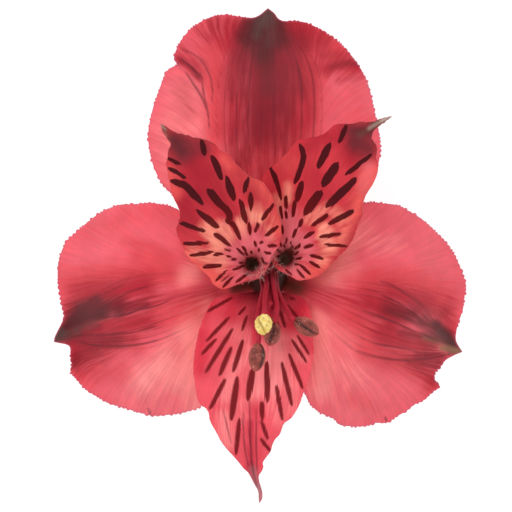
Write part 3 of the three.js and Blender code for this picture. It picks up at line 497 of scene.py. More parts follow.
UPPER_RIGHT_TEPAL = dict(
    name="inner_tepal_upper_right", heading=53.1, mouth=(2.79, 2.5, 19.3), foot=(-0.6, -0.8),
    patch=(0.45, -0.05, 1.08), lift=(-1, 1), base=(-2.3, -0.1), tip=(25.5, 0),
    spine=[
        (0, 0), (4, 0.6), (10, 1.6), (18, 2), (21, 2), (22.1, 1.9), (23.2, 1.05), (24.2, 0.65),
        (25.5, 0),
    ],
    left=[
        (-2, 0.48), (-1.3, 1.76), (0.2, 3.8), (2.4, 6), (4.4, 8.2), (6.6, 9.7), (8, 9.9), (9.5, 9.7),
        (11.7, 9.1), (14.6, 8.8), (16.3, 7.6), (17, 6.9), (18.2, 6.3), (19.3, 6), (20.3, 5.1),
        (20.8, 4.3), (22.1, 3.2), (23.2, 1.7), (24.2, 1.1), (25, 0.5),
    ],
    right=[
        (-2.1, -1.8), (-1.85, -3.4), (-0.8, -4.7), (0.5, -5.5), (2.5, -5.8), (4.1, -6), (6.1, -6.3),
        (7.9, -6.1), (9.7, -5.6), (11.4, -5.2), (12.4, -4.5), (13.9, -3.9), (15.8, -3.7), (17.5, -3.2),
        (18.5, -2.6), (19.3, -1.7), (20.6, -0.9), (20.9, -0.2), (21.3, 0.5), (22, 0.85), (22.9, 0.75),
        (24.1, 0.38), (25, 0.1),
    ],
    streaks=[
        (0.7, 0.2, 15.8, 1.2, 13.6, 1.9, 10.8), (0.94, 4.6, 19, 5.2, 16.9, 4.7, 15.1, 4, 13.2),
        (1.05, 5, 13.4, 4.2, 10.6), (0.66, 3.9, 10.6, 3.6, 8.3), (0.75, 11.4, 21.7, 10.4, 19),
        (1.17, 9.1, 18.9, 7.3, 15.5), (1.29, 10.2, 16.1, 8, 12.7), (0.66, 15.1, 17.4, 11.4, 14.4),
        (1.17, 12.9, 13.9, 8.6, 9.7), (1.41, 7.8, 12, 5.4, 8.7), (0.66, 8.8, 8.6, 6.4, 6.9),
        (0.82, 12.5, 9.1, 8.8, 7.2), (0.66, 6.8, 6.1, 5.3, 5.1), (0.59, 10.8, 5.8, 7.6, 5.3),
        (0.52, 11.7, 3.9, 8.3, 4.2), (0.54, 6.6, 4.2, 5.2, 3.7), (0.52, 8.2, 2, 6.2, 2.6),
        (0.48, 7.6, 0.8, 6.1, 1.7), (0.48, 6.2, -0.2, 4.7, 1.3), (0.4, 5.3, -0.8, 4.2, 0.6),
        (0.38, 3.5, -0.3, 2.6, 0.5), (0.52, 5, 7.9, 4.6, 6.7), (0.52, 4.2, 6.5, 3.7, 5.2),
        (0.52, 2.6, 11.3, 2.7, 9.4), (0.4, 2.6, 9.1, 2.8, 8), (0.4, 1.8, 9.8, 2.1, 8),
        (0.43, 2.1, 7, 2.2, 5.8), (0.38, 2.8, 5.2, 2.6, 4.3), (0.38, 3.3, 4.6, 3.4, 4.2),
        (0.38, 4.7, 4.3, 4.5, 3.7), (0.38, 4.5, 3.2, 3.9, 2.6), (0.38, 5, 2.3, 4.1, 2),
        (0.36, 1.8, 4.4, 2, 3.9), (0.36, 3.5, 4.1, 3.6, 3.6), (0.36, 1.3, 3.5, 1.8, 3.1),
        (0.34, 1.3, 2.5, 1.8, 2.4), (0.36, 2.3, 4.3, 2.5, 3.7), (0.36, 4.4, 4, 3.9, 3.5),
        (0.34, 4.6, 1.3, 3.9, 1.3), (0.3, 1.6, 1.3, 2, 1.5),
    ],
    paint=dict(
        salmon=[
            (0.9, 2.6, 14.8, 15, 14, 12, 13, 8.6), (0.3, 3, 1.6, 17, 3.4, 16),
            (0.8, 2.4, 8.4, 1.2, 5, -0.6), (0.5, 2, 13.4, 7.5, 11, 3.6),
        ],
        red=[
            (0.8, 3, 11.5, 20.6, 12.6, 17), (0.5, 3, 6.6, 14, 8.4, 11), (0.3, 2, 0.4, 15, 0.8, 12.6),
            (0.6, 2.5, 5.4, 18.4, 8, 19.6), (0.6, 1.4, 14.8, 11.4, 13.6, 8, 12, 4.6, 9.8, 1.6),
            (0.2, 2.6, 2, 17.4, 3.4, 15), (0.4, 2.4, 8, 20.6, 10.4, 19.4),
        ],
        glow=[
            (0.8, 1.4, 3.1, 12.6, 3, 10.8), (0.7, 1.6, 8, 7, 8.6, 6, 8, 5),
            (0.2, 1.8, 11.4, 7.4, 10.6, 5), (0.6, 1.8, 9, 3.2, 7.6, 2), (0.6, 1.4, 5.8, 7.8, 7.6, 8.9),
            (0.4, 1.3, 1.5, 11, 1.7, 9.4), (0.5, 1.7, 8.8, 9.4, 10.4, 8.4), (0.6, 1.3, 8, 5.2, 9, 4.4),
            (0.8, 1.5, 1.4, 8.8, 1.2, 6.8), (0.6, 1.4, 0.4, 9.4, 1.2, 7.4),
        ],
        pink=[
            # Round the nectary these are partly the tepal's own pink and partly painted light, lifting
            # the funnel's shade.
            (1, 3, 3, 8.2, 3.4, 5), (0.9, 2.2, 5.4, 4.8, 6, 2.6), (0.8, 2, 4.6, 0.2, 3, 0),
            (0.4, 2, 14.6, 15.6, 14, 12),
        ],
        wine=[(1, 2.6, 15.2, 20.8, 12.6, 20.8), (0.9, 2.6, 14.8, 18.2, 13, 19)],
        umber=[(1, 1.1, 18.4, 23, 15.4, 21.7), (0.4, 0.8, 15, 21.2, 13.4, 20.2)],
        ash=[(0.9, 0.5, 18, 23.1, 16.6, 22.3), (0.6, 0.5, 16.6, 22.3, 14.8, 21.2)],
    ),
)
OUTER_TEPALS = [TOP_TEPAL, LEFT_TEPAL, RIGHT_TEPAL]
TUBULAR_TEPALS = [UPPER_LEFT_TEPAL, UPPER_RIGHT_TEPAL]

# ---------------------------------------------------------------- curves


def smooth(x, low=0.0, high=1.0):
    """0 below low, 1 above high, and a soft step between them."""
    t = np.clip((np.asarray(x, float) - low) / (high - low), 0, 1)
    return t * t * (3 - 2 * t)


def through(points):
    """A smooth function through (x, y) points with rising x."""
    x, y = np.array(points, float).T
    padded_x, padded_y = np.pad(x, 1, "edge"), np.pad(y, 1, "edge")
    slope = (padded_y[2:] - padded_y[:-2]) / (padded_x[2:] - padded_x[:-2])

    def value(at):
        at = np.asarray(at, float)
        i = np.clip(np.searchsorted(x, at) - 1, 0, len(x) - 2)
        step = x[i + 1] - x[i]
        t = np.clip((at - x[i]) / step, 0, 1)
        before, after, rise = slope[i] * step, slope[i + 1] * step, y[i + 1] - y[i]
        bend = 3 * rise - 2 * before - after
        return y[i] + t * (before + t * (bend + t * (before + after - 2 * rise)))

    return value


def fine_curve(points, steps=24):
    """Many points along the centripetal Catmull-Rom curve through a few."""
    p = np.array(points, float)
    p = np.vstack([2 * p[0] - p[1], p, 2 * p[-1] - p[-2]])
    gap = np.linalg.norm(np.diff(p, axis=0), axis=1) ** 0.5
    t = np.linspace(0, 1, steps, endpoint=False)[:, None]
    made = []
    for i in range(1, len(p) - 2):
        d0, d1, d2 = gap[i - 1], gap[i], gap[i + 1]
        a, b, c, d = p[i - 1 : i + 3]
        start = ((b - a) / d0 - (c - a) / (d0 + d1) + (c - b) / d1) * d1
        end = ((c - b) / d1 - (d - b) / (d1 + d2) + (d - c) / d2) * d1
        made.append(b + t * (start + t * (3 * (c - b) - 2 * start - end
                                          + t * (2 * (b - c) + start + end))))
    return np.vstack([*made, p[-2:-1]])


def lengths(line):
    return np.concatenate([[0], np.cumsum(np.linalg.norm(np.diff(line, axis=0), axis=1))])


def at_shares(line, shares):
    """The points at these shares of a line's length."""
    run = lengths(line)
    return np.stack([np.interp(np.asarray(shares) * run[-1], run, axis) for axis in line.T], -1)


def line_distance(at, points):
    """For each plan point, its distance from a line of points, how far along the line it is, and
    whether it is to the line's left (1) or right (-1)."""
    p = np.array(points, float)
    run = lengths(p)
    best, share, side = np.full(len(at), np.inf), np.zeros(len(at)), np.ones(len(at))
    for a, b, start, end in zip(p[:-1], p[1:], run[:-1], run[1:]):
        way = b - a
        t = np.clip(((at - a) @ way) / (way @ way), 0, 1)
        distance = np.linalg.norm(at - a - t[:, None] * way, axis=1)
        nearer = distance < best
        left = np.sign(way[0] * (at[:, 1] - a[1]) - way[1] * (at[:, 0] - a[0]))
        best[nearer] = distance[nearer]
        share[nearer] = ((start + t * (end - start)) / run[-1])[nearer]
        side[nearer] = left[nearer]
    return best, share, side


def pairs(numbers):
    return np.reshape(numbers, (-1, 2))


def painted(at, strokes):
    """The weight, from 0 to 1, of soft strokes at plan points."""
    bare = np.ones(len(at))
    for strength, radius, *line in strokes:
        bare *= 1 - strength * smooth(1 - line_distance(at, pairs(line))[0] / radius)
    return 1 - bare


FAR = 5.0  # stands for any greater distance from a streak, or from a margin


def streak_distance(at, streaks, ends):
    """Signed distance from the nearest streak, below 0 inside it. ends is how wide a streak is
    at its ends, as a share of its width."""
    best = np.full(len(at), FAR)
    for width, *line in streaks:
        points = pairs(line)
        points = fine_curve(points, 6) if len(points) > 2 else points
        distance, share, _ = line_distance(at, points)
        taper = ends + (1 - ends) * np.sqrt(np.clip(4 * share * (1 - share), 0, 1))
        best = np.minimum(best, distance - width / 2 * taper)
    return best


# ---------------------------------------------------------------- meshes


def make_piece(name, points, faces, weights, material, slot, node=None):
    """A smooth-shaded piece that rides on the root. weights are values at the points, read by the
    material. node is the CAD node that it replaces."""
    mesh = bpy.data.meshes.new(name)
    mesh.from_pydata((points + AXIS) * MM, [], [face for kind in faces for face in kind.tolist()])
    mesh.validate()
    mesh.shade_smooth()
    for key, value in weights.items():
        value = np.asarray(value, np.float32)
        kind, field = ("FLOAT_VECTOR", "vector") if value.ndim == 2 else ("FLOAT", "value")
        mesh.attributes.new(key, kind, "POINT").data.foreach_set(field, value.ravel())
    mesh.materials.append(material)
    piece = bpy.data.objects.new(name, mesh)
    bpy.context.scene.collection.objects.link(piece)
    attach(piece, "root")
    if node:
        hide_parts(node)


def merge_pieces(name, bodies, material, slot):
    """One piece of many small bodies. Each is its points, and its quads and triangles."""
    first = np.cumsum([0] + [len(points) for points, _ in bodies])
    faces = [np.vstack([body[1][kind] + start for body, start in zip(bodies, first)])
             for kind in (0, 1)]
    make_piece(name, np.vstack([points for points, _ in bodies]), faces, {}, material, slot)


def grid_faces(rows, columns, closed=False):
    """The quads of a grid of points, row after row, wound anticlockwise for rising columns, rows."""
    j, i = np.meshgrid(np.arange(rows - 1), np.arange(columns if closed else columns - 1),
                       indexing="ij")
    j, i = j.ravel(), i.ravel()
    after = (i + 1) % columns
    return np.stack([j * columns + i, j * columns + after,
                     (j + 1) * columns + after, (j + 1) * columns + i], 1)


def unit(vectors):
    return vectors / np.maximum(np.linalg.norm(vectors, axis=-1, keepdims=True), 1e-9)


def sheet_faces(upper, edge, count):
    """The faces of a closed sheet: upper ones, the same below, and a strip round the edge loop."""
    after = np.roll(edge, -1)
    rim = np.stack([edge, after, after + count, edge + count], 1)
    return [*upper, *(faces[:, ::-1] + count for faces in upper), rim]


def sheet_points(upper, normals, thickness):
    """Both faces of a sheet. Nothing reaches below the surface it lies on."""
    top, bottom = upper.copy(), upper - normals * thickness[:, None]
    top[:, 2] = np.maximum(top[:, 2], thickness)
    bottom[:, 2] = np.maximum(bottom[:, 2], 0)
    return np.vstack([top, bottom])


def angles(sides):
    return 2 * np.pi * np.arange(sides) / sides


def ring(centre, size, angle, side, up):
    """Points round a centre at a distance of size, in the plane of side and up."""
    return centre + size * (np.cos(angle)[:, None] * side + np.sin(angle)[:, None] * up)


def tube(path, radius, segments, sides):
    """Points and faces of a closed tube, and how far along it each point but its two end centres
    is. radius gives its size by share of length and angle."""
    line = at_shares(fine_curve(path), np.linspace(0, 1, segments + 1))
    ahead = unit(np.gradient(line, axis=0))
    side = unit(np.cross(ahead[0], (0.31, 0.17, 0.93)))
    angle = angles(sides)
    rings = []
    for k, (centre, forward) in enumerate(zip(line, ahead)):
        side = unit(side - forward * (side @ forward))
        size = radius(k / segments, angle)[:, None]
        rings.append(ring(centre, size, angle, side, np.cross(forward, side)))
    return *close_rings(rings), np.repeat(np.linspace(0, 1, segments + 1), sides)


def close_rings(rings):
    """Points and faces of rings joined by quads and closed by fans. Each ring is anticlockwise
    seen from the last one."""
    rings = np.array(rings)
    count, sides = rings.shape[:2]
    points = np.vstack([rings.reshape(-1, 3), rings[0].mean(0), rings[-1].mean(0)])
    i = np.arange(sides)
    after = (i + 1) % sides
    last = (count - 1) * sides
    first_fan = np.stack([np.full(sides, count * sides), after, i], 1)
    last_fan = np.stack([np.full(sides, count * sides + 1), last + i, last + after], 1)
    return points, [grid_faces(count, sides, closed=True), np.vstack([first_fan, last_fan])]


# ---------------------------------------------------------------- materials


def srgb(red, green, blue):
    """A linear colour from 0-255 display values."""
    def linear(value):
        value /= 255
        return value / 12.92 if value <= 0.04045 else ((value + 0.055) / 1.055) ** 2.4
    return (linear(red), linear(green), linear(blue), 1.0)


class Shader:
    """A material with one Principled shader, and short calls that add nodes to it."""

    def __init__(self, name, roughness, specular, **settings):
        self.material = bpy.data.materials.new(name)
        self.material.use_nodes = True
        self.tree = self.material.node_tree
        self.surface = self.tree.nodes["Principled BSDF"]
        settings = {"Roughness": roughness, "Specular_IOR_Level": specular, **settings}
        for key, value in settings.items():
            self.surface.inputs[key.replace("_", " ")].default_value = value

    def feed(self, socket, value):
        if isinstance(value, bpy.types.NodeSocket):
            self.tree.links.new(value, socket)
        else:
            socket.default_value = value

    def node(self, kind, inputs, output=0, **settings):
        made = self.tree.nodes.new("ShaderNode" + kind)
        for key, value in settings.items():
            setattr(made, key, value)
        for key, value in inputs.items():
            self.feed(made.inputs[key], value)
        return made.outputs[output]

    def weight(self, name, output="Fac"):
        return self.node("Attribute", {}, output, attribute_name=name)

    def position(self):
        return self.node("TexCoord", {}, "Object")

    def math(self, operation, a, b=0.0, c=0.0, clamp=False):
        return self.node("Math", {0: a, 1: b, 2: c}, operation=operation, use_clamp=clamp)

    def step(self, value, low, high, to_low=0.0, to_high=1.0):
        return self.node("MapRange", {0: value, 1: low, 2: high, 3: to_low, 4: to_high},
                         interpolation_type="SMOOTHSTEP")

    def mix(self, factor, a, b, blend="MIX"):
        return self.node("Mix", {0: factor, 6: a, 7: b}, 2, data_type="RGBA", blend_type=blend)

    def noise(self, vector, scale, detail, roughness=0.55):
        return self.node("TexNoise", {"Vector": vector, "Scale": scale, "Detail": detail,
                                      "Roughness": roughness}, "Fac")

    def patches(self, *noise):
        """Noise with its middle values spread from 0 to 1."""
        return self.step(self.noise(*noise), 0.3, 0.7)

    def stretch(self, vector, *scale):
        return self.node("VectorMath", {0: vector, 1: scale}, operation="MULTIPLY")

    def bump(self, height, strength, distance):
        normal = self.node("Bump", {"Height": height, "Strength": strength,
                                    "Distance": distance * MM}, "Normal")
        self.feed(self.surface.inputs["Normal"], normal)

    def finish(self, colour):
        self.feed(self.surface.inputs["Base Color"], colour)
        return self.material


# The second colour is painted shade: in the open tepals' throat, under the inner tepals' lips, and down
# the nectaries' holes.
VEIN, THROAT_SHADE = srgb(96, 28, 38), srgb(116, 64, 52)
UNDERSIDE, UNDERSIDE_SHARE = srgb(208, 104, 104), 0.4
CELL_SCALE, CLOUD_SCALE = 5200.0, 260.0  # of their noise, in a metre
LEAST_LIGHT = 0.7
LIGHT_SHARES = (0.1, 0.08, 0.08, 0.34)  # added by the fibres, the fine ones, cells and clouds
# How far the fine fibres fray an edge: of a drawn vein and a streak in millimetres, and of
# the band's lines as a share of their spacing.
VEIN_FRAY, STREAK_FRAY, LINE_FRAY = 0.14, 0.18, 0.16
VEIN_EDGE = (0.26, -0.1)  # signed distances at which a vein's ink begins, and is full
VEIN_INK, STREAK_INK, TOOTH_INK = 0.72, 0.97, 0.5
STREAK_FADE = 0.6  # how much fainter a streak is on the underside
TOOTH_MARGIN = 0.3  # how far in from the margin the teeth's own tint reaches


class TepalShader(Shader):
    """A tepal's material. Each call lays one more effect over the colour so far."""

    def __init__(self, name, base, layers):
        super().__init__(name, 0.5, 0.09, Subsurface_Weight=0.25,
                         Subsurface_Radius=(1.0, 0.35, 0.3), Subsurface_Scale=0.5 * MM)
        grain = self.weight("grain", "Vector")
        self.fibre = self.patches(grain, 1.0, 4.0, 0.6)
        self.fine = self.patches(self.stretch(grain, 3.6, 3.6, 1.6), 1.0, 2.0)
        self.cells = self.noise(self.position(), CELL_SCALE, 1.0)
        self.colour = base
        for layer in layers:
            self.paint(*layer)

    def cover(self, factor, tint):
        self.colour = self.mix(factor, self.colour, tint)

    def paint(self, name, tint, feather):
        """A painted layer. The fibre noise feathers its edge."""
        weight = self.weight(name)
        edge = self.math("MULTIPLY", weight, self.math("SUBTRACT", 1.0, weight))
        spread = self.math("MULTIPLY_ADD", self.fibre, 2 * feather, -feather)
        self.cover(self.math("MULTIPLY_ADD", edge, spread, weight, clamp=True), tint)

    def shade(self):
        """Light and dark lines along the veins, a grain of cells, and large soft clouds."""
        clouds = self.noise(self.position(), CLOUD_SCALE, 4.0)
        light = LEAST_LIGHT
        for noise, share in zip((self.fibre, self.fine, self.cells, clouds), LIGHT_SHARES):
            light = self.math("MULTIPLY_ADD", noise, share, light)
        grey = self.node("CombineColor", {0: light, 1: light, 2: light})
        self.colour = self.mix(1.0, self.colour, grey, "MULTIPLY")

    def draw_veins(self):
        """Dark veins where they were drawn, broken up a little along their length."""
        edge = self.math("MULTIPLY_ADD", self.fine, VEIN_FRAY, self.weight("line"))
        self.cover(self.step(edge, *VEIN_EDGE, 0.0, VEIN_INK), VEIN)

    def draw_lines(self):
        """The band's and the wings' fine dark lines, stronger here and weaker there."""
        turns = self.math("MULTIPLY_ADD", self.fine, LINE_FRAY, self.weight("count"))
        wave = self.math("COSINE", self.math("MULTIPLY", turns, 2 * math.pi))
        strength = self.math("MULTIPLY_ADD", self.fibre, 0.7, 0.3)
        line = self.math("MULTIPLY", self.step(wave, 0.4, 1.0), strength)
        self.cover(self.math("MULTIPLY", line, self.weight("ink")), VEIN)

    def draw_streaks(self, ink, reach, softness):
        """Streaks of ink that end at a signed distance of reach. They show only faintly through
        the underside."""
        edge = self.math("MULTIPLY_ADD", self.fine, STREAK_FRAY, self.weight("streak"))
        inked = self.step(edge, reach + softness, reach - softness, 0.0, STREAK_INK)
        faded = self.math("MULTIPLY", self.weight("under"), STREAK_FADE)
        self.cover(self.math("MULTIPLY", inked, self.math("SUBTRACT", 1.0, faded)), ink)

    def finish(self):
        """The paler underside, and a fine relief."""
        self.cover(self.math("MULTIPLY", self.weight("under"), UNDERSIDE_SHARE), UNDERSIDE)
        cells = self.math("MULTIPLY", self.cells, 0.35)
        self.bump(self.math("MULTIPLY_ADD", self.fine, 0.8, cells), 0.3, 0.05)
        return super().finish(self.colour)


def outer_material():
    tepal = TepalShader("outer tepal", srgb(231, 95, 107), [
        ("pale", srgb(252, 144, 142), 0.8), ("coral", srgb(214, 66, 74), 1.0),
        ("crimson", srgb(176, 38, 52), 1.2), ("wine", srgb(134, 28, 40), 1.2),
        ("dusk", srgb(90, 32, 36), 0.5), ("umber", srgb(92, 64, 62), 0.6),
        ("olive", srgb(156, 112, 88), 1.2),
    ])
    tepal.draw_lines()
    tepal.shade()
    tepal.draw_veins()
    # Painted shade at the bases, under the inner tepals' lips.
    tepal.cover(tepal.weight("throat_shade"), THROAT_SHADE)
    teeth = tepal.step(tepal.weight("rim"), TOOTH_MARGIN, 0.0, 0.0, TOOTH_INK)
    tepal.cover(teeth, srgb(206, 84, 116))
    return tepal.finish()


def upper_inner_material():
    tepal = TepalShader("upper inner tepal", srgb(204, 56, 66), [
        ("salmon", srgb(234, 96, 90), 1.0), ("red", srgb(168, 32, 48), 1.0),
        ("glow", srgb(244, 148, 128), 1.4), ("pink", srgb(222, 104, 114), 1.0),
        # The halo is a paler ring round the nectary, partly painted light that lifts the funnel's
        # shade.
        ("halo", srgb(222, 124, 130), 0.5), ("wine", srgb(108, 38, 46), 0.6),
        ("umber", srgb(100, 70, 60), 0.6), ("ash", srgb(186, 158, 146), 0.4),
    ])
    tepal.shade()
    ink = tepal.mix(tepal.weight("tip"), srgb(94, 6, 9), srgb(66, 8, 15))
    tepal.draw_streaks(ink, 0.11, 0.07)
    # Painted shade down the nectary's hole.
    tepal.cover(tepal.weight("throat_shade"), THROAT_SHADE)
    # Painted light: the pale tube lifts the shade of the funnel's depth.
    tepal.cover(tepal.weight("tube"), srgb(196, 158, 136))
    return tepal.finish()


def lower_inner_material():
    tepal = TepalShader("lower inner tepal", srgb(232, 86, 98), [
        ("pale", srgb(250, 136, 138), 1.4), ("crimson", srgb(210, 46, 66), 1.0),
        # On this tepal umber is a grey-pink, painted shade on the curled tip.
        ("wine", srgb(164, 36, 54), 1.2), ("umber", srgb(176, 116, 122), 0.6),
    ])
    tepal.shade()
    tepal.draw_veins()
    tepal.draw_streaks(srgb(120, 18, 25), 0.15, 0.12)
    # Painted shade, darker towards the axis.
    tepal.cover(tepal.weight("throat_shade"), THROAT_SHADE)
    return tepal.finish()


def filament_material():
    shader = Shader("filament", 0.55, 0.12)
    tone = shader.noise(shader.stretch(shader.position(), 1.0, 1.0, 0.2), 2600.0, 3.0)
    base = shader.mix(shader.weight("along"), srgb(150, 38, 55), srgb(168, 35, 52))
    colour = shader.mix(shader.step(tone, 0.35, 0.7), base, srgb(184, 50, 68))
    shader.bump(tone, 0.3, 0.05)
    return shader.finish(shader.mix(0.45, base, colour))


def mottled_material(name, roughness, specular, patches, tints, covers, grain, bump):
    """Patches of two tints, a colour over them for each weight, and a bumpy grain."""
    shader = Shader(name, roughness, specular)
    colour = shader.mix(shader.patches(shader.position(), *patches), *tints)
    for weight, share, tint in covers:
        factor = shader.weight(weight)
        if share < 1:
            factor = shader.math("MULTIPLY", factor, share)
        colour = shader.mix(factor, colour, tint)
    shader.bump(shader.noise(shader.position(), grain, 2.0), *bump)
    return shader.finish(colour)


def anther_materials():
    closed = mottled_material(
        "closed anther", 0.6, 0.3, (900.0, 3.0), (srgb(104, 42, 36), srgb(154, 74, 64)),
        # The paler edge tint on the sides is a painted highlight, and the dark furrow tint is painted
        # shade in the groove.
        [("edge", 1, srgb(196, 104, 92)), ("along", 1, srgb(192, 84, 80)),
         ("furrow", 1, srgb(52, 22, 22))], 6000.0, (0.5, 0.04))
    ripe = mottled_material(
        "ripe anther", 0.85, 0.2, (1500.0, 3.0), (srgb(232, 196, 98), srgb(250, 230, 150)),
        # The darker furrow tint is painted shade, in the split and in the hollows between the lumps.
        [("furrow", 0.8, srgb(150, 104, 48))], 9000.0, (0.8, 0.06))
    return closed, ripe


def green_material():
    return mottled_material(
        "green tissue", 0.45, 0.4, (500.0, 4.0), (srgb(104, 122, 62), srgb(140, 156, 84)),
        # The dark crown tint at the ovary's top is painted shade, deep under the tepals.
        [("blush", 1, srgb(140, 76, 62)), ("crown_shade", 1, srgb(66, 40, 32))], 5200.0, (0.4, 0.05))


def hair_material():
    shader = Shader("hair", 0.4, 0.5)
    tone = shader.noise(shader.position(), 1500.0, 2.0)
    return shader.finish(shader.mix(tone, srgb(196, 140, 134), srgb(236, 202, 190)))


# ---------------------------------------------------------------- tepals

RIM_THICKNESS, MIDDLE_THICKNESS = 0.22, 0.5
KEEL_THICKNESS, KEEL_WIDTH = 0.45, 0.8  # the open tepals' midribs
THIN_MARGIN, KEEL_MARGIN = 2.5, 3  # how far in from the margin each is full
# Teeth: how far apart, how tall, and the length next to the tip that has none.
OUTER_TEETH = (0.64, 0.2, 2.6)
LOWER_TEETH = (0.52, 0.07, 9)
TOOTH_SPREAD, TOOTH_HEIGHTS = (0.6, 1.4), (0.1, 1.5)  # random, as shares of the usual
TOOTH_START, TOOTH_FULL = 0.12, 0.25  # shares of a side's length where teeth begin, and are full
TOOTH_PROFILE = [(0, 0), (0.3, 0.75), (0.55, 1), (0.8, 0.6)]
PLAIN_COLUMNS = 8
RIM_START = 0.93  # where along each column the finer columns of the teeth begin
RIM_ROWS = 5
OPEN_ROWS = 96
OUTER_RIDGES, LOWER_RIDGES = 0.04, 0.03  # how tall the corrugation is
RIDGES_IN_BAND = 34
RIDGED_BAND = (0.8, 2.6)  # the band's half-widths where the ridges begin, and are full
# The fibres' noise: its lanes across the band and the wings, and its steps along them.
LANES_IN_BAND, FIRST_WING_LANE, WING_LANES, ALONG_LANES = 7, 30, 1.3, 0.16
# Shares of a tepal's length at which the band's lines and the wings' begin, and are full.
LINE_START, FAN_START = (0.3, 0.56), (0.3, 0.7)
# Shares of the way out at which a tepal's relief begins and is full, then fades and is gone.
RELIEF_START, RELIEF_END = (0.1, 0.4), (0.75, 0.92)
THROAT_SHADE_EDGE, THROAT_SHADE_SHARE = (4.5, 2.5), 0.7  # painted shade in the lower tepal's throat, by distance from the axis
VEIN_ENDS, STREAK_ENDS = 0.1, 0.3  # how wide the ends are, as shares of a line's width


def tepal_piece(tepal, upper, normals, rim, faces, edge, values, material, slot, keel=0.0):
    """A tepal from its upper face. rim is each point's distance from the margin, and edge the loop
    of points round it. Both faces have the same values, but under is 1 below."""
    thickness = RIM_THICKNESS + (MIDDLE_THICKNESS - RIM_THICKNESS) * smooth(rim, 0, THIN_MARGIN)
    plan, count = upper[:, :2], len(upper)
    for key, strokes in tepal["paint"].items():
        values[key] = painted(plan, strokes)
    if "veins" in tepal:
        values["line"] = streak_distance(plan, tepal["veins"], VEIN_ENDS)
    if "streaks" in tepal:
        values["streak"] = streak_distance(plan, tepal["streaks"], STREAK_ENDS)
    both = {key: np.concatenate([value, value]) for key, value in values.items()}
    both["under"] = np.repeat([0.0, 1.0], count)
    make_piece(tepal["name"] + "_fine", sheet_points(upper, normals, thickness + keel),
               sheet_faces(faces, edge, count), both, material, slot, tepal["name"])


def side_columns(length, spacing, height, plain_tip):
    """Shares of a side's length and steps outwards, for the columns of each tooth."""
    stations = list(np.linspace(0, TOOTH_START, PLAIN_COLUMNS + 1) * length)
    while stations[-1] < length - 1.6 * spacing:
        stations.append(stations[-1] + spacing * RNG.uniform(*TOOTH_SPREAD))
    stations.append(length)
    shares, steps = [], []
    for start, end in zip(stations[:-1], stations[1:]):
        tall = height * RNG.uniform(*TOOTH_HEIGHTS)
        tall *= smooth(start / length, TOOTH_START, TOOTH_FULL)
        tall *= smooth(length - start, plain_tip, 2 * plain_tip)
        for part, lift in TOOTH_PROFILE:
            shares.append((start + part * (end - start)) / length)
            steps.append(lift * tall)
    return np.array([*shares, 1.0]), np.array([*steps, 0.0])


def toothed_margin(tepal, teeth):
    """The margin's points from the left base round the tip to the right base, each one's share u
    of the way round, and its step outwards as a plan vector."""
    sides = []
    for key, turn in (("left", 1), ("right", -1)):
        line = fine_curve([*tepal[key], tepal["tip"]])
        shares, steps = side_columns(lengths(line)[-1], *teeth)
        points = at_shares(line, shares)
        ahead = unit(np.gradient(points, axis=0))
        outwards = turn * np.stack([-ahead[:, 1], ahead[:, 0]], 1) * steps[:, None]
        u = 0.5 * (1 - (1 - shares) ** (1 / CROWDING))
        sides.append((points, u if turn > 0 else 1 - u, outwards))
    left, right = sides
    return [np.concatenate([a, b[::-1][1:]]) for a, b in zip(left, right)]


def to_flower(heading, along, across):
    """Plan points in the flower's frame from a tepal's own."""
    angle = math.radians(heading)
    return np.stack([along * math.cos(angle) - across * math.sin(angle),
                     along * math.sin(angle) + across * math.cos(angle)], -1)


def vein_labels(tepal, along, across):
    """Which vein passes a point. In the band round the midrib it is the share of the band's
    half-width, -1 to 1. In the wings it is where along the band the vein leaves it. Also how far
    the point is in the band, and the band's half-width."""
    left, right = (through(tepal[key])(along) for key in ("band_left", "band_right"))
    half = np.where(across > 0, left, right)
    beyond = np.abs(across) - half
    leaves = along - tepal["fan"] * np.log1p(np.maximum(beyond, 0) / 2)
    return across / half, leaves, smooth(beyond, 0.6, -0.4), half


def open_grids(tepal, claw, teeth):
    """The grids of an open tepal's upper face: a coarse one, and one of the teeth along the
    margin with twice the columns. Each has its plan coordinates, u and v."""
    margin, u, outwards = toothed_margin(tepal, teeth)
    spine = through(tepal["spine"])
    start = tepal["foot"] + CLAW_HALF_WIDTH * (1 - 2 * u)
    rows = np.linspace(0, RIM_START, OPEN_ROWS), np.linspace(RIM_START, 1, RIM_ROWS + 1)[1:]
    grids = []
    for v, step in zip(rows, (2, 1)):
        v = v[:, None]
        edge, foot, tooth = margin[::step], start[::step], outwards[::step] * (step == 1)
        along = claw + (edge[:, 0] - claw) * (v + VEIN_BEND * v * (1 - v))
        across = foot + (edge[:, 1] - spine(edge[:, 0]) - foot) * (v - VEIN_BEND * v * (1 - v))
        across = across + spine(along)
        reach = smooth(v, RIM_START, 1)
        grids.append((along + tooth[:, 0] * reach, across + tooth[:, 1] * reach,
                      *np.broadcast_arrays(u[::step], v)))
    return grids


def join_grids(coarse, fine):
    """Faces of a coarse grid, of a fine one beyond its last row and of the strip between them, and
    the loop of points round them all. Both grids hold point numbers."""
    a, b = coarse[-1, :-1], coarse[-1, 1:]
    start, middle, end = fine[0, :-1:2], fine[0, 1::2], fine[0, 2::2]
    strip = (a, b, middle), (b, end, middle), (a, middle, start)
    strip = np.vstack([np.stack(corners, 1) for corners in strip])
    left = np.concatenate([coarse[:, 0], fine[:, 0]])
    right = np.concatenate([coarse[:, -1], fine[:, -1]])
    loop = np.concatenate([left[:-1], fine[-1, :-1], right[:0:-1], coarse[0, :0:-1]])
    quads = [grid.ravel()[grid_faces(*grid.shape)] for grid in (coarse, fine)]
    return [np.vstack(quads), strip], loop


def groove(across):
    return GROOVE_DEPTH * np.exp(-((across / GROOVE_WIDTH) ** 2))


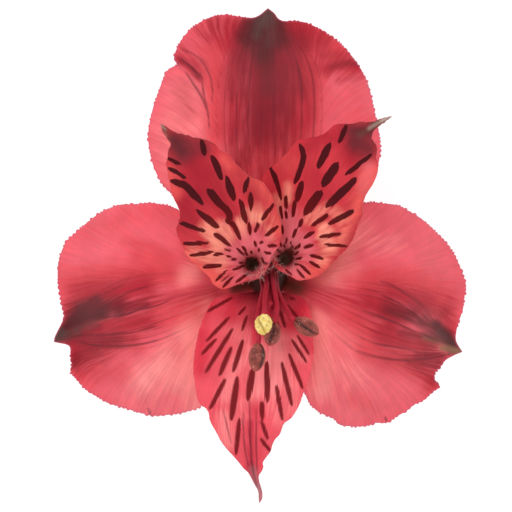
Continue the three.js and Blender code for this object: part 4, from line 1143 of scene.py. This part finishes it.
def fold_height(plan, folds):
    """Low steps in a surface along lines, which fade away at the far end and to both sides."""
    flat = plan.reshape(-1, 2)
    made = np.zeros(len(flat))
    for height, width, *line in folds:
        distance, share, side = line_distance(flat, fine_curve(pairs(line), 8))
        fade = np.exp(-distance / (2.5 * width)) * smooth(share, 1.0, 0.4)
        made += height / 2 * np.tanh(side * distance / (0.35 * width)) * fade
    return made.reshape(plan.shape[:2])


def corrugation(tepal, along, across, depth):
    """Low ridges along the veins, none where the band is narrow."""
    share, leaves, band, half = vein_labels(tepal, along, across)
    uneven = np.cos(4.1 * leaves + 1.7 * np.sin(0.8 * leaves)) * (0.6 + 0.4 * np.sin(1.3 * leaves))
    ridges = band * np.cos(RIDGES_IN_BAND * share) + (1 - band) * 0.22 * uneven
    return -depth * ridges * smooth(half, *RIDGED_BAND)


def sheet_normals(upper):
    """Normals of a grid of points, upright where the grid is too skewed to give one."""
    normals = np.cross(unit(np.gradient(upper, axis=1)), unit(np.gradient(upper, axis=0)))
    return unit(normals * np.sign(normals[..., 2:] + 1e-9) + (0, 0, 0.2))


def vein_values(tepal, along, across):
    """What the material needs to draw veins: the fibres' lane, and where the tepal has lines,
    their count and darkness."""
    share, leaves, band, _ = vein_labels(tepal, along, across)
    away = np.hypot(along, across)
    lane = band * LANES_IN_BAND * share + (1 - band) * (FIRST_WING_LANE + WING_LANES * leaves)
    values = {"grain": np.stack([lane, 3 * np.sign(across), ALONG_LANES * away], -1)}
    if "lines" in tepal:
        reach = away / tepal["tip"][0]
        places, darkness = np.array(tepal["lines"]).T
        inside = smooth(np.abs(share), 1.3, 1.1)
        drawn = inside * np.interp(share, places, darkness) * smooth(reach, *LINE_START)
        fanned = smooth(1 - band, 0.5, 1) * smooth(reach, *FAN_START)
        fanned = fanned * np.where(across > 0, *tepal["fan_ink"])
        count = np.interp(share, places, np.arange(len(places)))
        values["count"] = np.where(inside > 0, count, 0.8 * leaves + 0.5 * np.sin(1.3 * leaves))
        values["ink"] = np.where(inside > 0, drawn, fanned)
    return values


def open_tepal(tepal, claw, height, teeth, material, slot):
    grids = open_grids(tepal, claw, teeth)
    uppers = []
    for along, across, u, v in grids:
        plan = to_flower(tepal["heading"], along, across)
        uppers.append(np.concatenate([plan, height(along, across, u, v, plan)[..., None]], -1))
    normals = np.vstack([sheet_normals(upper).reshape(-1, 3) for upper in uppers])
    first = uppers[0].shape[0] * uppers[0].shape[1]
    index = np.arange(len(normals))
    faces, loop = join_grids(index[:first].reshape(uppers[0].shape[:2]),
                             index[first:].reshape(uppers[1].shape[:2]))
    along, across = (np.concatenate([grid[k].ravel() for grid in grids]) for k in (0, 1))
    upper = np.vstack([upper.reshape(-1, 3) for upper in uppers])
    rim = line_distance(upper[:, :2], uppers[1][-1, ::2, :2])[0]
    bend = across - through(tepal["spine"])(along)
    keel = np.exp(-((bend / KEEL_WIDTH) ** 2)) * smooth(rim, 0, KEEL_MARGIN)
    values = {**vein_values(tepal, along, across), "rim": rim}
    # Only the lower inner tepal has streaks. It is painted darker towards the axis: painted shade in
    # the throat.
    if "streaks" in tepal:
        from_axis = np.linalg.norm(upper[:, :2], axis=1)
        values["throat_shade"] = THROAT_SHADE_SHARE * smooth(from_axis, *THROAT_SHADE_EDGE)
    tepal_piece(tepal, upper, normals, rim, faces, loop, values, material, slot,
                KEEL_THICKNESS * keel)


def outer_tepal(tepal, material):
    rise = through(OUTER_RISE)

    def height(along, across, u, v, plan):
        away = np.hypot(along, SIDE_SHARE * across)
        share = (away - OUTER_CLAW) / (tepal["tip"][0] - OUTER_CLAW)
        ruffle = RUFFLE_HEIGHT * v**3 * np.sin(2 * np.pi * RUFFLE_WAVES * u)
        shape = ruffle - OUTER_ROLL * across**2 - groove(across) * v * (1 - v) * 4
        shape = shape + fold_height(plan, tepal["folds"])
        ridges = corrugation(tepal, along, across, OUTER_RIDGES)
        shape = shape + ridges * smooth(v, *RELIEF_START)
        return rise(share) + shape * (1 - smooth(share, *RELIEF_END))

    open_tepal(tepal, OUTER_CLAW, height, OUTER_TEETH, material, "outer_tepal")


def lower_tepal(tepal, material):
    rise = through(LOWER_RISE)
    spine = through(tepal["spine"])

    def height(along, across, u, v, plan):
        away = np.hypot(along, SIDE_SHARE * across)
        share = (away - INNER_CLAW) / (tepal["tip"][0] - INNER_CLAW)
        shape = corrugation(tepal, along, across, LOWER_RIDGES) - groove(across - spine(along))
        return rise(share) + shape * smooth(share, *RELIEF_START)

    open_tepal(tepal, INNER_CLAW, height, LOWER_TEETH, material, "inner_tepal")


NECTARY_WIDTH = 1.2  # the CAD model's funnel is 1.5
TUBULAR_COLUMNS = 300
TUBULAR_ROWS = 92
TUBE_ROWS = 26
LIFT_PLACE = 7
LOBE_START = (-6, 2)  # how far behind the mouth the lobes' roll begins, and is full
NIBBLES = [(0.09, 3), (0.22, 9)]  # of the margin: how large, and over how many columns smoothed
NIBBLED = (0.85, 1)  # the rows they take up, as shares of the way out
# Nibbles are full this far along the margin from its base, and this angle away from its tip.
PLAIN_BASE, PLAIN_TIP = 6, 0.4
PATCH_WAVES = [(0.1, 3, 1), (0.08, 8, 0), (0.06, 13, 0)]  # its edge: height, waves, start
# The patch is painted shade down the nectary's hole. The halo round it is partly painted light, lifting
# the funnel's shade, and the tube is painted light against the shade of its depth.
PATCH_EDGE, PATCH_SHARE = (1.1, 0.85), 0.95
HALO_EDGE, HALO_SHARE = (2.4, 1.3), 0.7
TUBE_EDGE = (0.95, 0.6)
DARK_STREAKS = (6.5, 12.5)  # how far from the mouth streaks begin to darken, and are dark


def tubular_surface(tepal):
    """A function from a tubular tepal's own plan coordinates to its points in the flower's frame."""
    rise = through(HOOD_RISE)

    def surface(along, across):
        away = np.hypot(along, across)
        sunk = np.exp(-((away / NECTARY_WIDTH) ** 2))
        lift = np.where(across > 0, *tepal["lift"])
        lobes = LOBE_ROLL * across**2 * smooth(-along, *LOBE_START)
        level = tepal["mouth"][2] + rise(along) + lift * (across / LIFT_PLACE) ** 2 - lobes
        height = level + (TUBE_FLOOR - level) * sunk
        plan = to_flower(tepal["heading"], along, across)
        origin = np.array(tepal["mouth"][:2]) + sunk[..., None] * np.array(tepal["foot"])
        return np.concatenate([plan + origin, height[..., None]], -1)

    return surface


def uneven_ring(count, size, width):
    """Random steps round a closed ring, smoothed over a few neighbours."""
    steps = np.tile(RNG.normal(0, size, count), 3)
    return np.convolve(steps, np.ones(width) / width, "same")[count:-count]


def tubular_plan(tepal):
    """A tubular tepal's own plan coordinates, in rings from the middle of its tube to its nibbled
    margin."""
    half = TUBULAR_COLUMNS // 2
    shares = 1 - (1 - np.arange(half + 1) / half) ** CROWDING
    left, right = (at_shares(fine_curve([tepal["base"], *tepal[key], tepal["tip"]]), shares)
                   for key in ("left", "right"))
    margin = np.concatenate([left, right[::-1][1:-1]])
    angle = np.pi * (1 - 2 * np.arange(TUBULAR_COLUMNS) / TUBULAR_COLUMNS)
    row = np.arange(1, TUBULAR_ROWS + 1)[:, None]
    away = TUBE_RING * np.minimum(1, row / TUBE_ROWS)
    outwards = np.maximum(0, (row - TUBE_ROWS) / (TUBULAR_ROWS - TUBE_ROWS))
    inner = np.stack([away * np.cos(angle), away * np.sin(angle)], -1)
    spine = through(tepal["spine"])
    margin[:, 1] -= spine(margin[:, 0])
    plan = inner + (margin - inner) * outwards[..., None]
    plan[..., 1] += spine(plan[..., 0]) * smooth(outwards, 0, 0.3)
    nibble = sum(uneven_ring(TUBULAR_COLUMNS, *each) for each in NIBBLES)
    nibble *= np.minimum(1, lengths(margin) / PLAIN_BASE)
    nibble *= np.minimum(1, np.abs(angle) / PLAIN_TIP)
    nibble = nibble / np.maximum(np.linalg.norm(margin, axis=1), 3) * smooth(outwards, *NIBBLED)
    return plan * (1 + nibble[..., None])


def tubular_values(tepal, own):
    """What the material needs besides the paint: the fibres' lane, the dark patch in the nectary,
    which is painted shade, the paler halo round it, partly painted light that lifts the funnel's
    shade, the pale tube, painted light against the shade of its depth, and how near the tip is."""
    distance = np.linalg.norm(own, axis=1)
    *place, stretch = tepal["patch"]
    from_patch = (own - place) / (stretch, 1)
    turn = np.arctan2(from_patch[:, 1], from_patch[:, 0])
    size = 1 + sum(height * np.sin(waves * turn + start) for height, waves, start in PATCH_WAVES)
    patch = np.linalg.norm(from_patch, axis=1) / size
    return {
        "grain": np.concatenate([7 * unit(own), 0.2 * distance[:, None]], 1),
        "throat_shade": PATCH_SHARE * smooth(patch, *PATCH_EDGE),
        "halo": HALO_SHARE * smooth(patch, *HALO_EDGE),
        "tube": smooth(distance, *TUBE_EDGE),
        "tip": smooth(distance, *DARK_STREAKS),
    }


def tubular_tepal(tepal, material):
    surface = tubular_surface(tepal)
    plan = tubular_plan(tepal)
    grid = surface(plan[..., 0], plan[..., 1])
    around = np.roll(grid, -1, 1) - np.roll(grid, 1, 1)
    normals = unit(np.cross(np.gradient(grid, axis=0), around))
    normals *= np.sign(normals[..., 2:] + 1e-9)
    rim = np.linalg.norm(grid - grid[-1], axis=-1)
    quads = grid_faces(TUBULAR_ROWS, TUBULAR_COLUMNS, closed=True)[:, ::-1] + 1
    i = np.arange(TUBULAR_COLUMNS)
    fan = np.stack([np.zeros_like(i), (i + 1) % TUBULAR_COLUMNS + 1, i + 1], 1)
    # Point 0 is the middle of the tube's floor.
    own = np.vstack([[[0, 0]], plan.reshape(-1, 2)])
    upper = np.vstack([surface(np.zeros(1), np.zeros(1)), grid.reshape(-1, 3)])
    normals = np.vstack([[[0, 0, 1]], normals.reshape(-1, 3)])
    rim = np.concatenate([[FAR], rim.ravel()])
    edge = 1 + (TUBULAR_ROWS - 1) * TUBULAR_COLUMNS + i
    tepal_piece(tepal, upper, normals, rim, [quads, fan], edge, tubular_values(tepal, own),
                material, "inner_tepal")


# ---------------------------------------------------------------- stamens and style

INTO_ANTHER = SEAT_GAP + 0.25  # the CAD model leaves a gap; here the filament's end is in the anther
FILAMENT_SIDES, STYLE_SIDES, THREAD_SEGMENTS = 18, 27, 56
ANTHER_RINGS, ANTHER_SIDES = 44, 52
FURROW_WIDTH, FURROW_DEPTH, RIPE_FURROW_DEPTH = 0.18, 0.2, 0.3  # as shares of an anther's radius
SEAM_PLACE, SEAM_SPREAD, SEAM_DEPTH = 0.8, 0.004, 0.04
NOTCH = 0.35  # how far the furrow cuts into an anther's ends
RIPE_LUMPS, RIPE_GRAIN, LUMPS = 0.07, 0.025, 0.012


def with_ends(values, first, last):
    """Values of rings of points, and those of the centres of their two ends."""
    return np.concatenate([np.ravel(values), [first, last]])


def rotation(yaw, pitch, roll):
    """Turns about x, then y (a positive pitch lifts +x), then z."""
    return np.array(Euler([math.radians(turn) for turn in (roll, -pitch, yaw)]).to_matrix())


def filament(number, stamen, material):
    turn = math.radians(stamen.place)
    shift = (BUNDLE_RADIUS * math.cos(turn), BUNDLE_RADIUS * math.sin(turn), 0)
    path = [*(np.array(BUNDLE) + shift), *stamen.path]
    path.append(path[-1] + rotation(*stamen.turn) @ (INTO_ANTHER, 0, 0))

    def radius(share, angle):
        return FILAMENT_RADIUS * (1.2 - 0.45 * share) * (1 + 0.07 * np.cos(3 * angle + 4 * share))

    points, faces, shares = tube(path, radius, THREAD_SEGMENTS, FILAMENT_SIDES)
    weights = {"along": with_ends(smooth(shares, 0.2, 0.8), 0, 1)}
    name = f"filament_{number}"
    make_piece(name + "_fine", points, faces, weights, material, "filament", name)


def anther(number, stamen, material, ripe):
    """Two pollen sacs side by side, with a furrow between them. A ripe one has burst: its furrow
    runs aslant and its sacs are lumpy with pollen. Returns its rings of points."""
    length, width, depth = stamen.size
    share = (np.arange(ANTHER_RINGS)[:, None] + 0.35) / (ANTHER_RINGS - 0.3)
    angle = angles(ANTHER_SIDES)[None, :]
    girth = np.sin(np.pi * share) ** 0.55
    aslant = 1.9 * (share - 0.5) if ripe else stamen.furrow + 0.06 * np.sin(6 * share)
    top = np.exp(-(((np.cos(angle) - aslant) / FURROW_WIDTH) ** 2))
    seam = np.exp(-((np.abs(np.cos(angle)) - SEAM_PLACE) ** 2) / SEAM_SPREAD)
    furrow = 1 - (RIPE_FURROW_DEPTH if ripe else FURROW_DEPTH) * top - SEAM_DEPTH * seam * (1 - top)
    notch = 1 - NOTCH * top * (smooth(share, 0.16, 0) + smooth(share, 0.84, 1))
    lumps = np.sin(5 * angle + 8 * share) * np.sin(17 * share + 2 * np.cos(angle))
    rough = 1 + (RIPE_LUMPS * lumps + RNG.normal(0, RIPE_GRAIN, lumps.shape) if ripe
                 else LUMPS * lumps)
    along = length * (0.5 + (share - 0.5) * notch)
    body = np.stack([along, width / 2 * girth * np.cos(angle) * rough,
                     depth / 2 * girth * furrow * np.sin(angle) * rough], -1)
    turned = rotation(*stamen.turn)
    placed = body @ turned.T + stamen.path[-1] + turned @ (SEAT_GAP, 0, 0)
    # Painted shade in the furrow, and on a ripe anther in the hollows between its lumps; edge is a
    # painted highlight along the sides.
    dark = np.maximum(top * girth, 0.5 * smooth(-lumps, 0.2, 0.9)) if ripe else top * girth
    weights = {"furrow": with_ends(dark, 0, 0),
               "edge": with_ends(0.6 * np.cos(angle) ** 6 * girth, 0.3, 0.3),
               "along": with_ends(np.repeat(0.6 * smooth(share, 0.7, 1), ANTHER_SIDES), 0, 1)}
    name = f"anther_{number}"
    slot = "ripe_anther" if ripe else "closed_anther"
    make_piece(name + "_fine", *close_rings(placed), weights, material, slot, name)
    return placed


GRAINS = 12  # on each closed anther that shows
GRAIN_SIDES = 6
GRAIN_SIZES = (0.035, 0.07)
GRAIN_RINGS = (2.7, 1.9, 1.2, 0.4)  # their angles from the grain's top


def pollen(anthers, material):
    """Loose grains along the upper furrows of the closed anthers."""
    angle = angles(GRAIN_SIDES)
    bodies = []
    for placed in anthers:
        rings, columns = placed.shape[:2]
        top = placed[:, :, 2].argmax(1)
        for _ in range(GRAINS):
            row = RNG.integers(3, rings - 3)
            place = placed[row, (top[row] + RNG.integers(-7, 8)) % columns]
            size = RNG.uniform(*GRAIN_SIZES)
            bodies.append(close_rings([
                ring(place + (0, 0, size * math.cos(t)), size * math.sin(t), angle,
                     (1, 0, 0), (0, 1, 0)) for t in GRAIN_RINGS]))
    merge_pieces("pollen_grains", bodies, material, "ripe_anther")


def style(material):
    def radius(share, angle):
        lobes = smooth(share, 0.88, 1) * (0.25 + 0.35 * np.cos(3 * angle))
        return STYLE_RADIUS * (1 + lobes)

    points, faces, shares = tube([*BUNDLE, *STYLE_PATH], radius, THREAD_SEGMENTS, STYLE_SIDES)
    make_piece("style_fine", points, faces, {"along": with_ends(shares, 0, 1)}, material, "filament",
               "style")


# ---------------------------------------------------------------- ovary and stalk

OVARY_RINGS, OVARY_SIDES = 40, 96
STALK_SEGMENTS, STALK_SIDES = 90, 32


def ovary(material):
    """A leaning, ribbed body whose rings turn level towards its top."""
    foot, top, upright = np.array(OVARY_FOOT, float), np.array([0, 0, OVARY_TOP]), (0, 0, 1)
    lean = unit(top - foot)
    radius = through(list(zip(np.linspace(0, 1, len(OVARY_RADII)), OVARY_RADII)))
    angle = angles(OVARY_SIDES)
    rings = []
    for share in np.linspace(0, 1, OVARY_RINGS):
        normal = unit(lean + (upright - lean) * share**2)
        towards = np.array([0, normal[2], -normal[1]])
        ribbed = 1 + RIB_SHARE * math.sin(math.pi * share) * np.cos(RIB_COUNT * angle)
        size = (radius(share) * ribbed)[:, None]
        rings.append(ring(foot + (top - foot) * share, size, angle, (1, 0, 0), towards))
    points, faces = close_rings(rings)
    ridge = smooth(np.cos(RIB_COUNT * angle), 0.2, 1)
    # The ovary is painted darker towards its top: painted shade under the tepals.
    weights = {"blush": with_ends(np.tile(0.6 * ridge, OVARY_RINGS), 0, 0.5),
               "crown_shade": smooth(points[:, 2], 8, 10.4)}
    make_piece("ovary_fine", points, faces, weights, material, "green_tissue", "ovary")


def stalk(material):
    def radius(share, angle):
        return STALK_RADIUS * (1 - 0.06 * share) * (1 + 0.02 * np.cos(5 * angle))

    points, faces, shares = tube(STALK_PATH, radius, STALK_SEGMENTS, STALK_SIDES)
    points[:, 2] = np.maximum(points[:, 2], 0)
    weights = {"blush": with_ends(0.35 * smooth(shares, 0.3, 0), 0.3, 0)}
    make_piece("stalk_fine", points, faces, weights, material, "green_tissue", "stalk")


# ---------------------------------------------------------------- hairs

HAIR_COUNT = 60  # at each nectary
HAIR_RADIUS = 0.032
HAIR_LENGTHS = (0.5, 1.4)
HAIR_BEND = 0.35  # at most, as a share of a hair's length
HAIR_SIDES, HAIR_RINGS = 5, 7
ROOT_SPREAD, ROOT_RING, ROOT_DEPTH = 0.8, (1.4, 2.1), 0.1  # angle, distances, depth in the tepal
HAIR_LEAN, HAIR_SCATTER, HAIR_CLIMB = 0.6, 0.7, (0.1, 0.5)  # outwards, sideways and up


def hairs(name, roots, ways, sizes, material, slot):
    """Fine tapering hairs, all one piece. Each bends a little on its way."""
    angle = angles(HAIR_SIDES)
    bodies = []
    for root, way, length in zip(roots, ways, sizes):
        way = unit(way)
        side = unit(np.cross(way, (0.2, 0.3, 0.9)))
        up = np.cross(way, side)
        bend = RNG.uniform(-HAIR_BEND, HAIR_BEND, 2)
        bodies.append(close_rings([
            ring(root + length * (way * t + (side * bend[0] + up * bend[1]) * t * t),
                 HAIR_RADIUS * (1 - 0.7 * t), angle, side, up)
            for t in np.linspace(0, 1, HAIR_RINGS)]))
    merge_pieces(name, bodies, material, slot)


def nectary_hairs(tepal, count, material):
    """Hairs on the lip of a nectary's mouth, mostly on the side towards the flower's axis."""
    surface = tubular_surface(tepal)
    angle = np.pi + RNG.normal(0, ROOT_SPREAD, count)
    away = RNG.uniform(*ROOT_RING, count)
    roots = surface(away * np.cos(angle), away * np.sin(angle)) - (0, 0, ROOT_DEPTH)
    outwards = to_flower(tepal["heading"], np.cos(angle), np.sin(angle))
    ways = np.concatenate([outwards * HAIR_LEAN + RNG.normal(0, HAIR_SCATTER, (count, 2)),
                           RNG.uniform(*HAIR_CLIMB, (count, 1))], 1)
    name = tepal["name"].replace("inner_tepal", "nectary_hairs")
    hairs(name, roots, ways, RNG.uniform(*HAIR_LENGTHS, count), material, "inner_tepal")


# ---------------------------------------------------------------- stage

# In metres: the floor's half width, how far it is below the part, and each light's size and
# place. The first number of a light is its power in watts.
FLOOR_HALF, FLOOR_DROP = 9.0, 0.00004
FLOOR_GLOW, FLOOR_GREY = 0.9, (0.2, 0.2, 0.2, 1)
WORLD_STRENGTH = 0.82
LIGHTS = {"key": (2.2, 0.5, (-0.35, 0.35, 0.7)), "fill": (0.8, 0.6, (0.5, -0.3, 0.6))}
WHITE = (1, 1, 1, 1)

PHOTO_PIXELS, MM_PER_PIXEL = 512, 0.147
FRAME_WIDTH = PHOTO_PIXELS * MM_PER_PIXEL
FRAME_CENTRE = (-0.564, -0.111)  # the photograph's middle, in the part's frame
FOCAL_HEIGHT = 15.0  # the height at which the frame is that wide
LENS, SENSOR = 1500.0, 36.0


def stage():
    half = FLOOR_HALF
    corners = [(-half, -half, 0), (half, -half, 0), (half, half, 0), (-half, half, 0)]
    mesh = bpy.data.meshes.new("floor")
    mesh.from_pydata(corners, [], [(0, 1, 2, 3)])
    floor = bpy.data.objects.new("floor", mesh)
    floor.location.z = -FLOOR_DROP
    shader = Shader("floor", 0.9, 0.0, Emission_Color=WHITE, Emission_Strength=FLOOR_GLOW)
    mesh.materials.append(shader.finish(FLOOR_GREY))
    bpy.context.scene.collection.objects.link(floor)


def lights():
    world = bpy.data.worlds.new("studio")
    world.use_nodes = True
    background = world.node_tree.nodes["Background"]
    background.inputs["Color"].default_value = WHITE
    background.inputs["Strength"].default_value = WORLD_STRENGTH
    bpy.context.scene.world = world
    for name, (power, size, place) in LIGHTS.items():
        data = bpy.data.lights.new(name, "AREA")
        data.energy = power
        data.size = size
        lamp = bpy.data.objects.new(name, data)
        lamp.location = place
        lamp.rotation_euler = (-Vector(place)).to_track_quat("-Z", "Y").to_euler()
        bpy.context.scene.collection.objects.link(lamp)
    bpy.context.scene.view_settings.view_transform = "Standard"


def camera():
    data = bpy.data.cameras.new("camera")
    data.lens = LENS
    data.sensor_width = SENSOR
    data.clip_start, data.clip_end = 0.1, 50
    seen = bpy.data.objects.new("camera", data)
    height = FOCAL_HEIGHT + FRAME_WIDTH * LENS / SENSOR
    seen.location = (FRAME_CENTRE[0] * MM, FRAME_CENTRE[1] * MM, height * MM)
    bpy.context.scene.collection.objects.link(seen)
    bpy.context.scene.camera = seen


# ---------------------------------------------------------------- the bloom

camera()
lights()
stage()

outer, upper_inner, lower_inner = outer_material(), upper_inner_material(), lower_inner_material()
for tepal in OUTER_TEPALS:
    outer_tepal(tepal, outer)
for tepal in TUBULAR_TEPALS:
    tubular_tepal(tepal, upper_inner)
lower_tepal(LOWER_TEPAL, lower_inner)

stem_red, pale_hair = filament_material(), hair_material()
closed, ripe = anther_materials()
anthers = []
for number, stamen in enumerate(STAMENS, 1):
    filament(number, stamen, stem_red)
    anthers.append(anther(number, stamen, ripe if number == 1 else closed, number == 1))
pollen(anthers[1:4], pale_hair)
style(stem_red)

green = green_material()
ovary(green)
stalk(green)

for tepal in TUBULAR_TEPALS:
    nectary_hairs(tepal, HAIR_COUNT, pale_hair)
